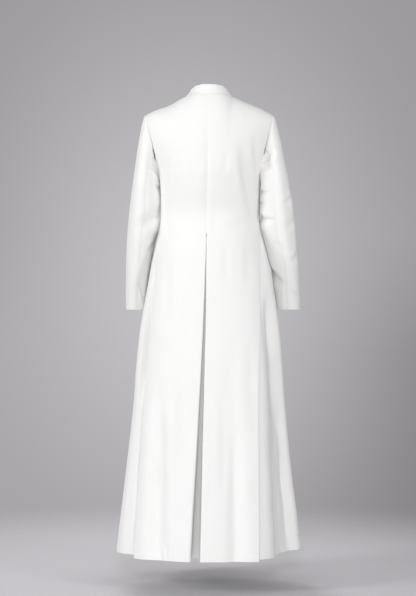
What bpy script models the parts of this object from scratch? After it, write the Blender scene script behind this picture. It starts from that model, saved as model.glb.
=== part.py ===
"""Full-length cassock as it hangs when worn, with no wearer inside.

The garment faces -Y and the wearer's left is +X. Z is 0 at the neck seam, so
the origin lies inside the neck opening, where the shoulders carry the cloth.
Every piece is a wall of cloth between two offset copies of its middle surface.
"""
import math

import bmesh
import bpy
import numpy as np
from mathutils import Matrix, Vector

NAME = "cassock"

# Cloth and seams, in metres
WALL = 0.0016
COLLAR_WALL = 0.0020
SEAM = 0.0003
LAYER = 0.0038
LAP = 0.018
LAP_DEPTH = 0.0024

# Heights of the trunk
HEM_Z = -1.493
UNDERARM_Z = -0.250
TIP_Z = -0.060
CENTRE_PLEAT_Z = -0.459
SIDE_PLEAT_Z = -0.4125
CLOSED_STEP = 0.003

# Neck and shoulders
NECK_X = 0.0765
NECK_BACK = 0.062
NECK_FRONT = 0.075
TIP_X = 0.2085
ARMHOLE_DEPTH = 0.078
ROLL_POWER = 0.9

# Collar band
COLLAR_LIFT = 0.0012
COLLAR_HEIGHT_BACK = 0.0355
COLLAR_HEIGHT_FRONT = 0.030
COLLAR_TOP_X = 0.745
COLLAR_TOP_Y = 0.86
COLLAR_GAP = 0.0006
COLLAR_ROWS = 3

# Sleeves
SLEEVE_TOP_Z = -0.300
CUFF_Z = -0.7013
SLEEVE_SQUARE = 2.15
HEAD_REACH = 0.050
BACK_SEAM_STEP = 3
FRONT_SEAM_STEP = 2
CAP_ROWS = 4
SLEEVE_ROWS = 6

# Covered buttons
BUTTON_COUNT = 17
BUTTON_TOP_Z = -0.100
BUTTON_PITCH = 0.078
BUTTON_RADIUS = 0.0075
BUTTON_HALF_DEPTH = 0.0030
BUTTON_GAP = 0.0004

# Cloth finish
CLOTH_COLOUR = (0.86, 0.86, 0.85)
CLOTH_ROUGHNESS = 0.85

# Small shape values
FOLD_RISE = 1.4
FOLD_REACH = 0.0025
LAP_CLEAR = 0.0015
EDGE_EASE = 0.07
HEAD_CLEAR = 0.0008
UNDERARM_CLEAR = 0.0026
COLLAR_CURVE = 0.8
SLEEVE_SPREAD = 1.4
HEAD_LEAVE = 0.9
HEAD_TURN_IN = 0.75
HEAD_TURN_ROUND = 0.45
HEAD_FLATTEN = 0.65

# Mesh steps
BODICE_ROWS = 9
ROW_POWER = 1.3
NECK_COLUMNS = 4
SHOULDER_COLUMNS = 6
TIGHT_STEPS = 3
SOFT_STEPS = 2
UNDERLAY_COLUMNS = 4
CENTRE_FLAP = 9
SIDE_FLAP = 9
FRONT_FLAP = 21
LEG_SHARE = 0.45
BISECTIONS = 40
SLOPE_REACH = 0.002
SLEEVE_SLOPE_REACH = 0.020
BUTTON_AROUND = 10
BUTTON_OVER = 6
TINY = 1e-9
SHARP_ANGLE = math.radians(50.0)
RING_HALF_SWEEP = math.radians(196.0)
RING_POINTS = 785


def table(columns, *rows):
    """Named columns from rows of numbers, lowest height first."""
    return dict(zip(columns.split(), np.array(rows, dtype=float).T))


# Half widths and depths of the level ring, and how square its back corners are
TRUNK = table(
    "z left right back front square_left square_right",
    (-1.493, 0.3045, 0.3050, 0.265, 0.228, 2.25, 3.00),
    (-1.200, 0.2700, 0.2710, 0.228, 0.200, 2.25, 2.90),
    (-0.950, 0.2440, 0.2470, 0.195, 0.175, 2.25, 2.75),
    (-0.750, 0.2220, 0.2255, 0.166, 0.156, 2.25, 2.60),
    (-0.600, 0.1980, 0.2070, 0.143, 0.142, 2.25, 2.40),
    (-0.520, 0.1840, 0.1900, 0.130, 0.134, 2.25, 2.30),
    (-0.459, 0.1700, 0.1760, 0.116, 0.124, 2.25, 2.25),
    (-0.386, 0.1625, 0.1660, 0.101, 0.112, 2.25, 2.25),
    (-0.310, 0.1640, 0.1665, 0.112, 0.119, 2.25, 2.25),
    (-0.250, 0.1705, 0.1705, 0.119, 0.125, 2.25, 2.25),
)
FRONT_SQUARE = 2.2

# The centre-back seam drifts a little to the wearer's left
SEAM_LINE = table(
    "z x",
    (-0.459, 0.0089),
    (-0.250, 0.0060),
    (0.000, 0.0030),
)

# Inverted pleat: X of both folds, round of each fold, and the inner fold
CENTRE_PLEAT = table(
    "z left_x right_x left_turn right_turn tuck depth",
    (-1.493, 0.0605, 0.0291, 0.0200, 0.0050, 0.050, 0.0950),
    (-1.200, 0.0442, 0.0221, 0.0140, 0.0050, 0.050, 0.0700),
    (-0.950, 0.0298, 0.0164, 0.0090, 0.0045, 0.048, 0.0460),
    (-0.700, 0.0183, 0.0104, 0.0060, 0.0040, 0.044, 0.0220),
    (-0.459, 0.0099, 0.0079, 0.0038, 0.0038, 0.040, 0.0038),
)

# Side pleats: edge is the fold's angle from the centre back in degrees, along
# runs from that fold towards the front, depth runs in from the ring
SIDE_COLUMNS = (
    "z edge turn tuck depth second_along second_depth wall_along wall_depth"
    " valley_along valley_depth rise soft"
)
SIDE_LEFT = table(
    SIDE_COLUMNS,
    (-1.493, 50.2, 0.0080, 0.060, 0.0300, 0.000, 0.0600, 0.035, 0.0520, 0.070, 0.0300, 0.140, 0.030),
    (-1.200, 53.6, 0.0070, 0.056, 0.0240, 0.000, 0.0480, 0.028, 0.0400, 0.055, 0.0240, 0.110, 0.025),
    (-0.950, 56.2, 0.0060, 0.050, 0.0180, 0.000, 0.0340, 0.022, 0.0280, 0.042, 0.0160, 0.080, 0.020),
    (-0.750, 56.6, 0.0050, 0.044, 0.0120, 0.000, 0.0220, 0.016, 0.0180, 0.030, 0.0100, 0.055, 0.015),
    (-0.600, 62.0, 0.0040, 0.038, 0.0070, 0.000, 0.0130, 0.010, 0.0110, 0.020, 0.0070, 0.035, 0.010),
    (-0.4125, 76.0, 0.0038, 0.030, 0.0038, 0.000, 0.0076, 0.004, 0.0072, 0.008, 0.0050, 0.014, 0.002),
)
SIDE_RIGHT = table(
    SIDE_COLUMNS,
    (-1.493, 21.6, 0.0045, 0.050, 0.0300, 0.040, 0.0420, 0.158, 0.0850, 0.245, 0.0800, 0.335, 0.030),
    (-1.200, 27.0, 0.0045, 0.048, 0.0240, 0.030, 0.0320, 0.120, 0.0620, 0.185, 0.0600, 0.270, 0.025),
    (-0.950, 32.6, 0.0042, 0.045, 0.0170, 0.022, 0.0220, 0.080, 0.0400, 0.130, 0.0420, 0.205, 0.020),
    (-0.750, 41.6, 0.0040, 0.040, 0.0100, 0.012, 0.0140, 0.040, 0.0240, 0.068, 0.0220, 0.112, 0.014),
    (-0.600, 48.0, 0.0038, 0.036, 0.0060, 0.006, 0.0100, 0.018, 0.0120, 0.032, 0.0100, 0.056, 0.008),
    (-0.4125, 76.0, 0.0038, 0.030, 0.0038, 0.000, 0.0076, 0.004, 0.0072, 0.008, 0.0050, 0.014, 0.002),
)

# Broad soft folds of the skirt: X at the hem, X where each fades out above
SOFT_FOLDS = table(
    "hem_x top_x top_z width depth back",
    (0.1330, 0.1150, -0.72, 0.034, 0.0090, 1),
    (-0.0790, -0.0700, -0.62, 0.034, 0.0080, 1),
    (0.1900, 0.1300, -0.60, 0.040, 0.0120, 0),
    (0.0850, 0.0700, -0.75, 0.034, 0.0080, 0),
    (-0.1000, -0.0800, -0.66, 0.036, 0.0090, 0),
    (-0.2050, -0.1350, -0.58, 0.042, 0.0120, 0),
)

# Ridge of the shoulder, also where it would run on over the neck opening
RIDGE = table(
    "x back front",
    (-0.030, 0.0360, -0.0190),
    (0.000, 0.0400, -0.0250),
    (0.030, 0.0360, -0.0190),
    (0.055, 0.0210, -0.0080),
    (0.0765, 0.0000, 0.0000),
    (0.120, -0.0190, -0.0190),
    (0.165, -0.0385, -0.0385),
    (0.2085, -0.0600, -0.0600),
)

# X of the armhole at each height
ARMHOLE = table(
    "z back front",
    (-0.250, 0.1705, 0.1705),
    (-0.225, 0.1735, 0.1690),
    (-0.175, 0.1825, 0.1700),
    (-0.125, 0.1950, 0.1800),
    (-0.085, 0.2045, 0.1960),
    (-0.060, 0.2085, 0.2085),
)

# Level sections of each sleeve below the armhole
SLEEVE_COLUMNS = "z inner outer y_centre half_depth"
SLEEVE_LEFT = table(
    SLEEVE_COLUMNS,
    (-0.7013, 0.2120, 0.2778, -0.066, 0.055),
    (-0.6500, 0.2085, 0.2775, -0.056, 0.057),
    (-0.5840, 0.2030, 0.2760, -0.040, 0.060),
    (-0.5050, 0.1925, 0.2730, -0.024, 0.064),
    (-0.4257, 0.1785, 0.2680, -0.012, 0.069),
    (-0.3465, 0.1725, 0.2600, -0.006, 0.073),
    (-0.3000, 0.1745, 0.2535, -0.004, 0.075),
)
SLEEVE_RIGHT = table(
    SLEEVE_COLUMNS,
    (-0.7013, 0.2234, 0.3030, -0.056, 0.056),
    (-0.6500, 0.2205, 0.2995, -0.047, 0.058),
    (-0.5840, 0.2140, 0.2960, -0.034, 0.061),
    (-0.5050, 0.1980, 0.2900, -0.020, 0.065),
    (-0.4257, 0.1815, 0.2830, -0.011, 0.070),
    (-0.3465, 0.1775, 0.2750, -0.006, 0.074),
    (-0.3000, 0.1770, 0.2660, -0.004, 0.076),
)

# Heights of the level rows, hem first; the pleat tops fall on rows of their own
SKIRT_LEVELS = (-1.493, -1.380, -1.250, -1.110, -0.970, -0.840, -0.720, -0.620, -0.540, CENTRE_PLEAT_Z)
WAIST_LEVELS = (
    CENTRE_PLEAT_Z + CLOSED_STEP, SIDE_PLEAT_Z, SIDE_PLEAT_Z + CLOSED_STEP, -0.380, -0.342, -0.300,
)


def blend(start, leave, end, arrive, t):
    """Cubic from start to end that sets off and ends in the ways given."""
    first = (2.0 * t ** 3 - 3.0 * t ** 2 + 1.0) * start + (t ** 3 - 2.0 * t ** 2 + t) * leave
    return first + (3.0 * t ** 2 - 2.0 * t ** 3) * end + (t ** 3 - t ** 2) * arrive


def read(source, column, at):
    """Smooth value of a table's column, with no overshoot between rows."""
    keys = source["z"] if "z" in source else source["x"]
    values = source[column]
    at = min(max(at, keys[0]), keys[-1])
    step = np.diff(keys)
    slope = np.diff(values) / step
    tangent = np.empty(len(keys))
    tangent[0] = slope[0]
    tangent[-1] = slope[-1]
    for i in range(1, len(keys) - 1):
        same_way = slope[i - 1] * slope[i] > 0.0
        tangent[i] = 2.0 / (1.0 / slope[i - 1] + 1.0 / slope[i]) if same_way else 0.0
    i = min(int(np.searchsorted(keys, at, side="right")) - 1, len(keys) - 2)
    t = (at - keys[i]) / step[i]
    leave, arrive = step[i] * tangent[i], step[i] * tangent[i + 1]
    return float(blend(values[i], leave, values[i + 1], arrive, t))


def smooth(value):
    """Ease from 0 to 1."""
    value = min(max(value, 0.0), 1.0)
    return value * value * (3.0 - 2.0 * value)


def signed_power(value, power):
    return np.sign(value) * np.abs(value) ** power


def ring(z):
    """The level outline at a height, by distance s from the centre back."""
    angle = np.linspace(-RING_HALF_SWEEP, RING_HALF_SWEEP, RING_POINTS)
    across, along = np.sin(angle), np.cos(angle)
    half = np.where(across >= 0.0, read(TRUNK, "left", z), read(TRUNK, "right", z))
    deep = np.where(along >= 0.0, read(TRUNK, "back", z), read(TRUNK, "front", z))
    corner = np.where(across >= 0.0, read(TRUNK, "square_left", z), read(TRUNK, "square_right", z))
    square = np.where(along >= 0.0, corner, FRONT_SQUARE)
    x = half * signed_power(across, 2.0 / square)
    y = deep * signed_power(along, 2.0 / square)
    run = np.concatenate(([0.0], np.cumsum(np.hypot(np.diff(x), np.diff(y)))))
    run -= run[RING_POINTS // 2]
    return {"z": z, "angle": angle, "x": x, "y": y, "s": run}


def s_at_angle(level, degrees):
    return float(np.interp(math.radians(degrees), level["angle"], level["s"]))


def s_at_back_x(level, x):
    """Distance along the back of the ring to the point at x."""
    back = np.abs(level["angle"]) < math.pi / 2.0
    return float(np.interp(x, level["x"][back], level["s"][back]))


def on_ring(level, s, depth=0.0):
    """The point at s on the ring, moved in by depth."""
    x, y = (np.interp(s, level["s"], level[axis]) for axis in "xy")
    after = [np.interp(s + SLOPE_REACH, level["s"], level[axis]) for axis in "xy"]
    before = [np.interp(s - SLOPE_REACH, level["s"], level[axis]) for axis in "xy"]
    across, along = np.subtract(after, before)
    size = math.hypot(across, along)
    return np.array((x + along / size * depth, y - across / size * depth, level["z"]))


def fold_depth(x, z, back):
    """Depth of the broad soft folds at one point of the skirt."""
    total = 0.0
    for hem_x, top_x, top_z, width, depth, on_back in zip(*SOFT_FOLDS.values()):
        part = (top_z - z) / (top_z - HEM_Z)
        if bool(on_back) != back or part <= 0.0:
            continue
        centre = top_x + (hem_x - top_x) * part
        total += depth * smooth(part * FOLD_RISE) * math.exp(-(((x - centre) / width) ** 2))
    return total


def even(count):
    """A run of a section in equal steps."""
    def points(start, end):
        return [start + (end - start) * step / count for step in range(count)]
    return points


def rounded_path(corners, legs):
    """Points of a folded section, in distance u and depth, its corners rounded.

    A corner is (u, depth, round, steps); a leg makes the points between two.
    """
    spots = [np.array(corner[:2]) for corner in corners]
    path = []
    start = spots[0]
    for i in range(1, len(spots)):
        before = spots[i] - spots[i - 1]
        if i == len(spots) - 1:
            path += legs[i - 1](start, spots[i]) + [spots[i]]
            break
        after = spots[i + 1] - spots[i]
        sizes = np.linalg.norm(before), np.linalg.norm(after)
        cut = min(corners[i][2], LEG_SHARE * min(sizes))
        end = spots[i] - before / sizes[0] * cut
        path += legs[i - 1](start, end)
        start = spots[i] + after / sizes[1] * cut
        for step in range(corners[i][3]):
            t = step / corners[i][3]
            path.append((1.0 - t) ** 2 * end + 2.0 * t * (1.0 - t) * spots[i] + t ** 2 * start)
    return path


def side_table(side):
    return SIDE_LEFT if side > 0 else SIDE_RIGHT


def side_edge(level, side):
    """Distance round the ring to the side pleat's fold, or to the side seam above it."""
    pleat = side_table(side)
    degrees = read(pleat, "edge", level["z"])
    part = (level["z"] - SIDE_PLEAT_Z) / (UNDERARM_Z - SIDE_PLEAT_Z)
    if part > 0.0:
        degrees += (90.0 - degrees) * smooth(part)
    return side * s_at_angle(level, side * degrees)


def centre_return(level, side):
    """The centre pleat's return, from its inner fold up to the face."""
    z = level["z"]
    name = "left" if side > 0 else "right"
    edge = side * s_at_back_x(level, read(CENTRE_PLEAT, name + "_x", z))
    turn = read(CENTRE_PLEAT, name + "_turn", z)
    inner = (edge + read(CENTRE_PLEAT, "tuck", z), read(CENTRE_PLEAT, "depth", z))
    return [
        (*inner, 0.0, 0),
        (edge, turn, turn * 0.5, TIGHT_STEPS),
        (edge, 0.0, turn * 0.5, TIGHT_STEPS),
    ]


def side_return(level, side):
    """The back's side fold and return, from the face in to the inner fold."""
    pleat, z = side_table(side), level["z"]
    edge = side_edge(level, side)
    turn = read(pleat, "turn", z)
    return [
        (edge, 0.0, turn * 0.5, TIGHT_STEPS),
        (edge, turn, turn * 0.5, TIGHT_STEPS),
        (edge - read(pleat, "tuck", z), read(pleat, "depth", z), 0.0, 0),
    ]


def inner_fold(end, before):
    """Corners of the next piece, which meets a return's end and turns under it."""
    way = np.array(end) - np.array(before)
    way /= np.linalg.norm(way)
    start = np.array(end) + way * SEAM
    corner = np.array(end) + way * FOLD_REACH
    return [
        (*start, 0.0, 0),
        (*corner, LAYER * 0.5, TIGHT_STEPS),
        (corner[0], corner[1] + LAYER, LAYER * 0.5, TIGHT_STEPS),
    ]


def under_run(level, side):
    """The front's side pleat, from the inner fold out to the ring."""
    pleat, z = side_table(side), level["z"]
    edge = side_edge(level, side)
    fold, turn, end = side_return(level, side)
    soft = read(pleat, "soft", z)
    corners = inner_fold(end[:2], turn[:2])
    for name in ("second", "wall", "valley"):
        along, depth = read(pleat, name + "_along", z), read(pleat, name + "_depth", z)
        corners.append((edge + along, depth, soft, SOFT_STEPS))
    corners.append((edge + read(pleat, "rise", z), 0.0, soft, SOFT_STEPS))
    return corners


def column_shares():
    """Places of a face's columns, 0 at the centre and 1 at the armhole."""
    neck_edge = NECK_X / TIP_X
    neck = [neck_edge * math.sin(math.pi / 2.0 * i / NECK_COLUMNS) for i in range(NECK_COLUMNS)]
    turn = [math.sin(math.pi / 2.0 * i / SHOULDER_COLUMNS) for i in range(SHOULDER_COLUMNS + 1)]
    return neck + [neck_edge + (1.0 - neck_edge) * part for part in turn]


def ring_shares(back):
    """The same columns as shares of the ring's length at the underarm."""
    level = ring(UNDERARM_Z)
    half = read(TRUNK, "left", UNDERARM_Z)
    end = s_at_angle(level, 0.0 if back else 180.0)
    quarter = abs(s_at_angle(level, 90.0) - end)
    area = (level["angle"] >= 0.0) & (level["angle"] <= math.pi / 2.0)
    if not back:
        area = (level["angle"] >= math.pi / 2.0) & (level["angle"] <= math.pi)
    x, s = level["x"][area], level["s"][area]
    order = np.argsort(x)
    places = np.interp(np.array(column_shares()) * half, x[order], s[order])
    return np.abs(places - end) / quarter


def face_columns(level, back, start, end):
    """Distances of a face's columns: even in the skirt, the bodice's above the waist."""
    top = ring_shares(back)
    count = len(top) - 1
    part = smooth((level["z"] - SIDE_PLEAT_Z) / (UNDERARM_Z - SIDE_PLEAT_Z))
    shares = np.arange(count + 1) / count * (1.0 - part) + top * part
    if not back:
        shares = 1.0 - shares[::-1]
    return [start + (end - start) * share for share in shares]


def face_leg(level, side, back):
    """A run over the face, with the broad soft folds pressed in."""
    def points(start, end):
        result = []
        for u in face_columns(level, back, start[0], end[0]):
            x = np.interp(side * u, level["s"], level["x"])
            result.append(np.array((u, fold_depth(x, level["z"], back))))
        return result[:-1]
    return points


def missing(count):
    """Places of a row where the cloth has no fold."""
    return [np.array((np.nan, np.nan))] * count


def back_row(level, side):
    """One level section of a back, centre to side."""
    z = level["z"]
    seam = side * s_at_back_x(level, read(SEAM_LINE, "x", z)) + SEAM * 0.5
    inner, inner_legs, lead = [(seam, 0.0, 0.0, 0)], [], missing(CENTRE_FLAP)
    if z <= CENTRE_PLEAT_Z:
        inner, inner_legs, lead = centre_return(level, side), [even(2), even(1)], []
    side_seam = side_edge(level, side) - SEAM * 0.5
    outer, outer_legs, tail = [(side_seam, 0.0, 0.0, 0)], [], missing(SIDE_FLAP)
    if z <= SIDE_PLEAT_Z:
        outer, outer_legs, tail = side_return(level, side), [even(1), even(2)], []
    legs = inner_legs + [face_leg(level, side, True)] + outer_legs
    path = lead + rounded_path(inner + outer, legs) + tail
    return [on_ring(level, side * u, depth) for u, depth in path]


def front_row(level, side):
    """One level section of a front, side to centre and on to the end of the lap."""
    z = level["z"]
    centre = side * s_at_angle(level, side * 180.0)
    side_seam = side_edge(level, side) + SEAM * 0.5
    corners, legs, lead = [(side_seam, 0.0, 0.0, 0)], [], missing(FRONT_FLAP)
    if z <= SIDE_PLEAT_Z:
        corners, lead = under_run(level, side), []
        legs = [even(1), even(1), even(2), even(1), even(1), even(1)]
    corners.append((centre, 0.0, 0.0, 0))
    path = lead + rounded_path(corners, legs + [face_leg(level, side, False)])
    under = LAP_DEPTH if side < 0 else 0.0
    lap = (centre - LAP - LAP_CLEAR, centre, centre + LAP)
    path = path[:-1] + [np.array((u, under)) for u in lap]
    return [on_ring(level, side * u, depth) for u, depth in path]


def underlay_row(level):
    """One level section of the strip that closes the centre pleat."""
    left = [corner[:2] for corner in centre_return(level, 1)]
    right = [corner[:2] for corner in centre_return(level, -1)]
    near = inner_fold(right[0], right[1])
    far = inner_fold(left[0], left[1])
    corners = [(-u, depth, cut, steps) for u, depth, cut, steps in near] + far[::-1]
    path = rounded_path(corners, [even(1), even(1), even(UNDERLAY_COLUMNS), even(1), even(1)])
    return [on_ring(level, u, depth) for u, depth in path]


def bodice(side, back, share, t, fixed_x=None):
    """A point above the underarm.

    Share runs from the centre to the armhole, and t from the underarm level up
    to the ridge of the shoulder.
    """
    name = "back" if back else "front"
    rise = math.sin(t * math.pi / 2.0)
    roll = max(math.cos(t * math.pi / 2.0), 0.0) ** ROLL_POWER
    edge_x = read(ARMHOLE, name, UNDERARM_Z + (TIP_Z - UNDERARM_Z) * rise)
    if fixed_x is not None:
        share = fixed_x / edge_x
    top = read(RIDGE, name, abs(share) * TIP_X if fixed_x is None else abs(fixed_x))
    z = UNDERARM_Z + (top - UNDERARM_Z) * rise
    square = read(TRUNK, "square_left", UNDERARM_Z) if back else FRONT_SQUARE
    deep = read(TRUNK, name, UNDERARM_Z)
    armhole = ARMHOLE_DEPTH * math.sqrt(rise)
    reach = 1.0 - EDGE_EASE * min(rise * 2.0, 1.0)
    edge = (1.0 - reach ** square) ** (1.0 / square)
    arch = (1.0 - min(abs(share) * reach, 1.0) ** square) ** (1.0 / square)
    standing = armhole + (deep - armhole) * (arch - edge) / (1.0 - edge)
    x = side * share * edge_x
    if back:
        x += max(1.0 - abs(share) * TIP_X / NECK_X, 0.0) ** 2 * read(SEAM_LINE, "x", z)
    return np.array((x, (standing if back else -standing) * roll, z))


def neck_depth(x, back):
    part = min(abs(x) / NECK_X, 1.0)
    return (NECK_BACK if back else NECK_FRONT) * math.sqrt(1.0 - part * part)


def top_of(side, back, share, fixed_x=None):
    """How far up a column runs: to the shoulder seam, or to the neckline."""
    low, high = 0.0, 1.0
    point = bodice(side, back, share, 1.0, fixed_x)
    if abs(point[0]) >= NECK_X:
        return 1.0
    for _ in range(BISECTIONS):
        middle = (low + high) / 2.0
        point = bodice(side, back, share, middle, fixed_x)
        if abs(point[1]) > neck_depth(point[0], back):
            low = middle
        else:
            high = middle
    return high


def row_parts():
    return [(i / BODICE_ROWS) ** ROW_POWER for i in range(BODICE_ROWS + 1)]


def bodice_columns(side, back):
    """Share, fixed X and inward depth of each column, in the face's order."""
    columns = [(share, None, 0.0) for share in column_shares()]
    if back:
        return columns
    columns = columns[:0:-1]
    under = LAP_DEPTH if side < 0 else 0.0
    return columns + [(0.0, x, under) for x in (LAP + LAP_CLEAR, 0.0, -LAP)]


def bodice_grid(side, back):
    """Rows of points above the underarm level, on the face's columns."""
    columns = bodice_columns(side, back)
    tops = [top_of(side, back, share, fixed) for share, fixed, _ in columns]
    rows = []
    for part in row_parts():
        rows.append([
            bodice(side, back, share, top * part, fixed)
            for (share, fixed, _), top in zip(columns, tops)
        ])
    return np.array(rows)


def tangents(points):
    """Directions along the last but one axis, weighted for uneven steps."""
    step = np.diff(points, axis=-2)
    size = np.maximum(np.linalg.norm(step, axis=-1, keepdims=True), TINY)
    way = step / size
    result = np.empty_like(points)
    weight = size[..., :-1, :] + size[..., 1:, :]
    inner = (way[..., :-1, :] * size[..., 1:, :] + way[..., 1:, :] * size[..., :-1, :]) / weight
    result[..., 1:-1, :] = inner
    result[..., 0, :] = 2.0 * way[..., 0, :] - inner[..., 0, :]
    result[..., -1, :] = 2.0 * way[..., -1, :] - inner[..., -1, :]
    return result


def unit(vectors):
    return vectors / np.maximum(np.linalg.norm(vectors, axis=-1, keepdims=True), TINY)


def level_normals(row, side):
    """Outward directions in the level plane of a section, where it exists."""
    row = np.array(row)
    there = ~np.isnan(row[:, 0])
    normals = np.full_like(row, np.nan)
    way = tangents(row[there])
    normals[there] = unit(side * np.stack((-way[:, 1], way[:, 0], np.zeros(len(way))), axis=1))
    return normals


def surface_normals(rows, side):
    """Outward directions of a grid whose rows run up and columns run round."""
    across = tangents(rows)
    up = np.swapaxes(tangents(np.swapaxes(rows, 0, 1)), 0, 1)
    up[0] = (0.0, 0.0, 1.0)
    return unit(side * np.cross(up, across))


def trunk_piece(side, back):
    """Middle surface and outward directions of a back or a front, hem to top."""
    lead = CENTRE_FLAP if back else FRONT_FLAP
    tail = SIDE_FLAP if back else 0
    make = back_row if back else front_row
    levels = [ring(z) for z in SKIRT_LEVELS + WAIST_LEVELS]
    rows = [make(level, side) for level in levels]
    normals = [level_normals(row, side) for row in rows]
    upper = bodice_grid(side, back)
    upward = surface_normals(upper, side)
    depth = np.array([column[2] for column in bodice_columns(side, back)])
    upper = upper - upward * depth[None, :, None]
    upper[-1, :, 1] += (SEAM if back else -SEAM) * 0.5
    upper[0, -1 if back else 0, 1] += (SEAM if back else -SEAM) * 0.5
    if back:
        upper[:, 0, 0] += side * SEAM * 0.5
    before, after = np.full((lead, 3), np.nan), np.full((tail, 3), np.nan)
    for points, directions in zip(upper, upward):
        rows.append(np.concatenate((before, points, after)))
        normals.append(np.concatenate((before, directions, after)))
    return np.array(rows), np.array(normals)


def wall_mesh(name, points, normals, thickness):
    """A closed wall either side of a middle surface; missing points are left out."""
    there = ~np.isnan(points[..., 0])
    index = np.full(there.shape, -1)
    index[there] = np.arange(there.sum())
    count = int(there.sum())
    offset = normals[there] * thickness * 0.5
    vertices = np.concatenate((points[there] + offset, points[there] - offset))
    faces = []
    edges = {}
    for i in range(there.shape[0] - 1):
        for j in range(there.shape[1] - 1):
            if not there[i:i + 2, j:j + 2].all():
                continue
            around = [index[i, j], index[i, j + 1], index[i + 1, j + 1], index[i + 1, j]]
            falling = np.linalg.norm(points[i, j + 1] - points[i + 1, j])
            turn = 1 if falling < np.linalg.norm(points[i, j] - points[i + 1, j + 1]) else 0
            fan = around[turn:] + around[:turn]
            for corners in (fan[:3], [fan[0], fan[2], fan[3]]):
                faces.append(corners)
                faces.append([corner + count for corner in reversed(corners)])
            for first, second in zip(around, around[1:] + around[:1]):
                if edges.pop((second, first), None) is None:
                    edges[(first, second)] = True
    for first, second in edges:
        faces.append([second, first, first + count, second + count])
    mesh = bpy.data.meshes.new(name)
    mesh.from_pydata(vertices.tolist(), [], [[int(corner) for corner in face] for face in faces])
    work = bmesh.new()
    work.from_mesh(mesh)
    spare = [vertex for vertex in work.verts if not vertex.link_faces]
    bmesh.ops.delete(work, geom=spare, context="VERTS")
    bmesh.ops.recalc_face_normals(work, faces=work.faces)
    work.to_mesh(mesh)
    work.free()
    mesh.shade_smooth()
    mesh.set_sharp_from_angle(angle=SHARP_ANGLE)
    return mesh


def pull_in(points, distance):
    """Draw the end columns of a grid back from the seam."""
    for edge, inside in ((0, 1), (-1, -2)):
        points[:, edge] += unit(points[:, inside] - points[:, edge]) * distance


def neck_quarter(side, back):
    """The neckline of one piece, from the centre out to the shoulder seam."""
    found = {}
    for share, fixed, _ in bodice_columns(side, back):
        end = bodice(side, back, share, top_of(side, back, share, fixed), fixed)
        if abs(end[0]) <= NECK_X + TINY and side * end[0] >= -TINY:
            found[round(float(end[0]), 6)] = end
    return [found[key] for key in sorted(found, key=abs)]


def neck_points():
    """The neckline round the collar, from the centre front by the left side."""
    left_front, right_front = neck_quarter(1, False), neck_quarter(-1, False)
    left_back, right_back = neck_quarter(1, True), neck_quarter(-1, True)
    return left_front + left_back[-2::-1] + right_back[1:] + right_front[-2::-1]


def collar_piece():
    """A band that stands on the neckline and leans in towards its top."""
    base = np.array(neck_points())
    base[0, 0], base[-1, 0] = COLLAR_GAP * 0.5, -COLLAR_GAP * 0.5
    rows = []
    for i in range(COLLAR_ROWS + 1):
        part = i / COLLAR_ROWS
        lean = part ** COLLAR_CURVE
        row = base.copy()
        row[:, 0] *= 1.0 - (1.0 - COLLAR_TOP_X) * lean
        row[:, 1] *= 1.0 - (1.0 - COLLAR_TOP_Y) * lean
        backward = np.clip(base[:, 1] / NECK_BACK, 0.0, 1.0)
        height = COLLAR_HEIGHT_FRONT + (COLLAR_HEIGHT_BACK - COLLAR_HEIGHT_FRONT) * backward
        row[:, 2] += COLLAR_LIFT + height * part
        row[0, 0], row[-1, 0] = COLLAR_GAP * 0.5, -COLLAR_GAP * 0.5
        rows.append(row)
    rows = np.array(rows)
    way = tangents(rows)
    outward = unit(np.stack((-way[..., 1], way[..., 0], np.zeros(way.shape[:2])), axis=2))
    return rows, -outward


def sleeve_angle(i):
    """Angle round the sleeve that the armhole's row i leads to, 0 at the outside."""
    return math.pi * (1.0 - i / BODICE_ROWS) ** SLEEVE_SPREAD


def armhole_loop(side):
    """Armhole points and their angles, from the shoulder tip by the back."""
    parts = row_parts()
    points, angles = [], []
    for i in range(BODICE_ROWS, 0, -1):
        points.append(bodice(side, True, 1.0, parts[i]))
        angles.append(sleeve_angle(i))
    for i in range(BODICE_ROWS):
        points.append(bodice(side, False, 1.0, parts[i]))
        angles.append(2.0 * math.pi - sleeve_angle(i))
    return np.array(points), np.array(angles)


def sleeve_point(side, z, angle):
    source = SLEEVE_LEFT if side > 0 else SLEEVE_RIGHT
    inner, outer = read(source, "inner", z), read(source, "outer", z)
    across = float(signed_power(math.cos(angle), 2.0 / SLEEVE_SQUARE))
    along = float(signed_power(math.sin(angle), 2.0 / SLEEVE_SQUARE))
    x = (inner + outer) / 2.0 + (outer - inner) / 2.0 * across
    y = read(source, "y_centre", z) + read(source, "half_depth", z) * along
    return np.array((side * x, y, z))


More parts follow.
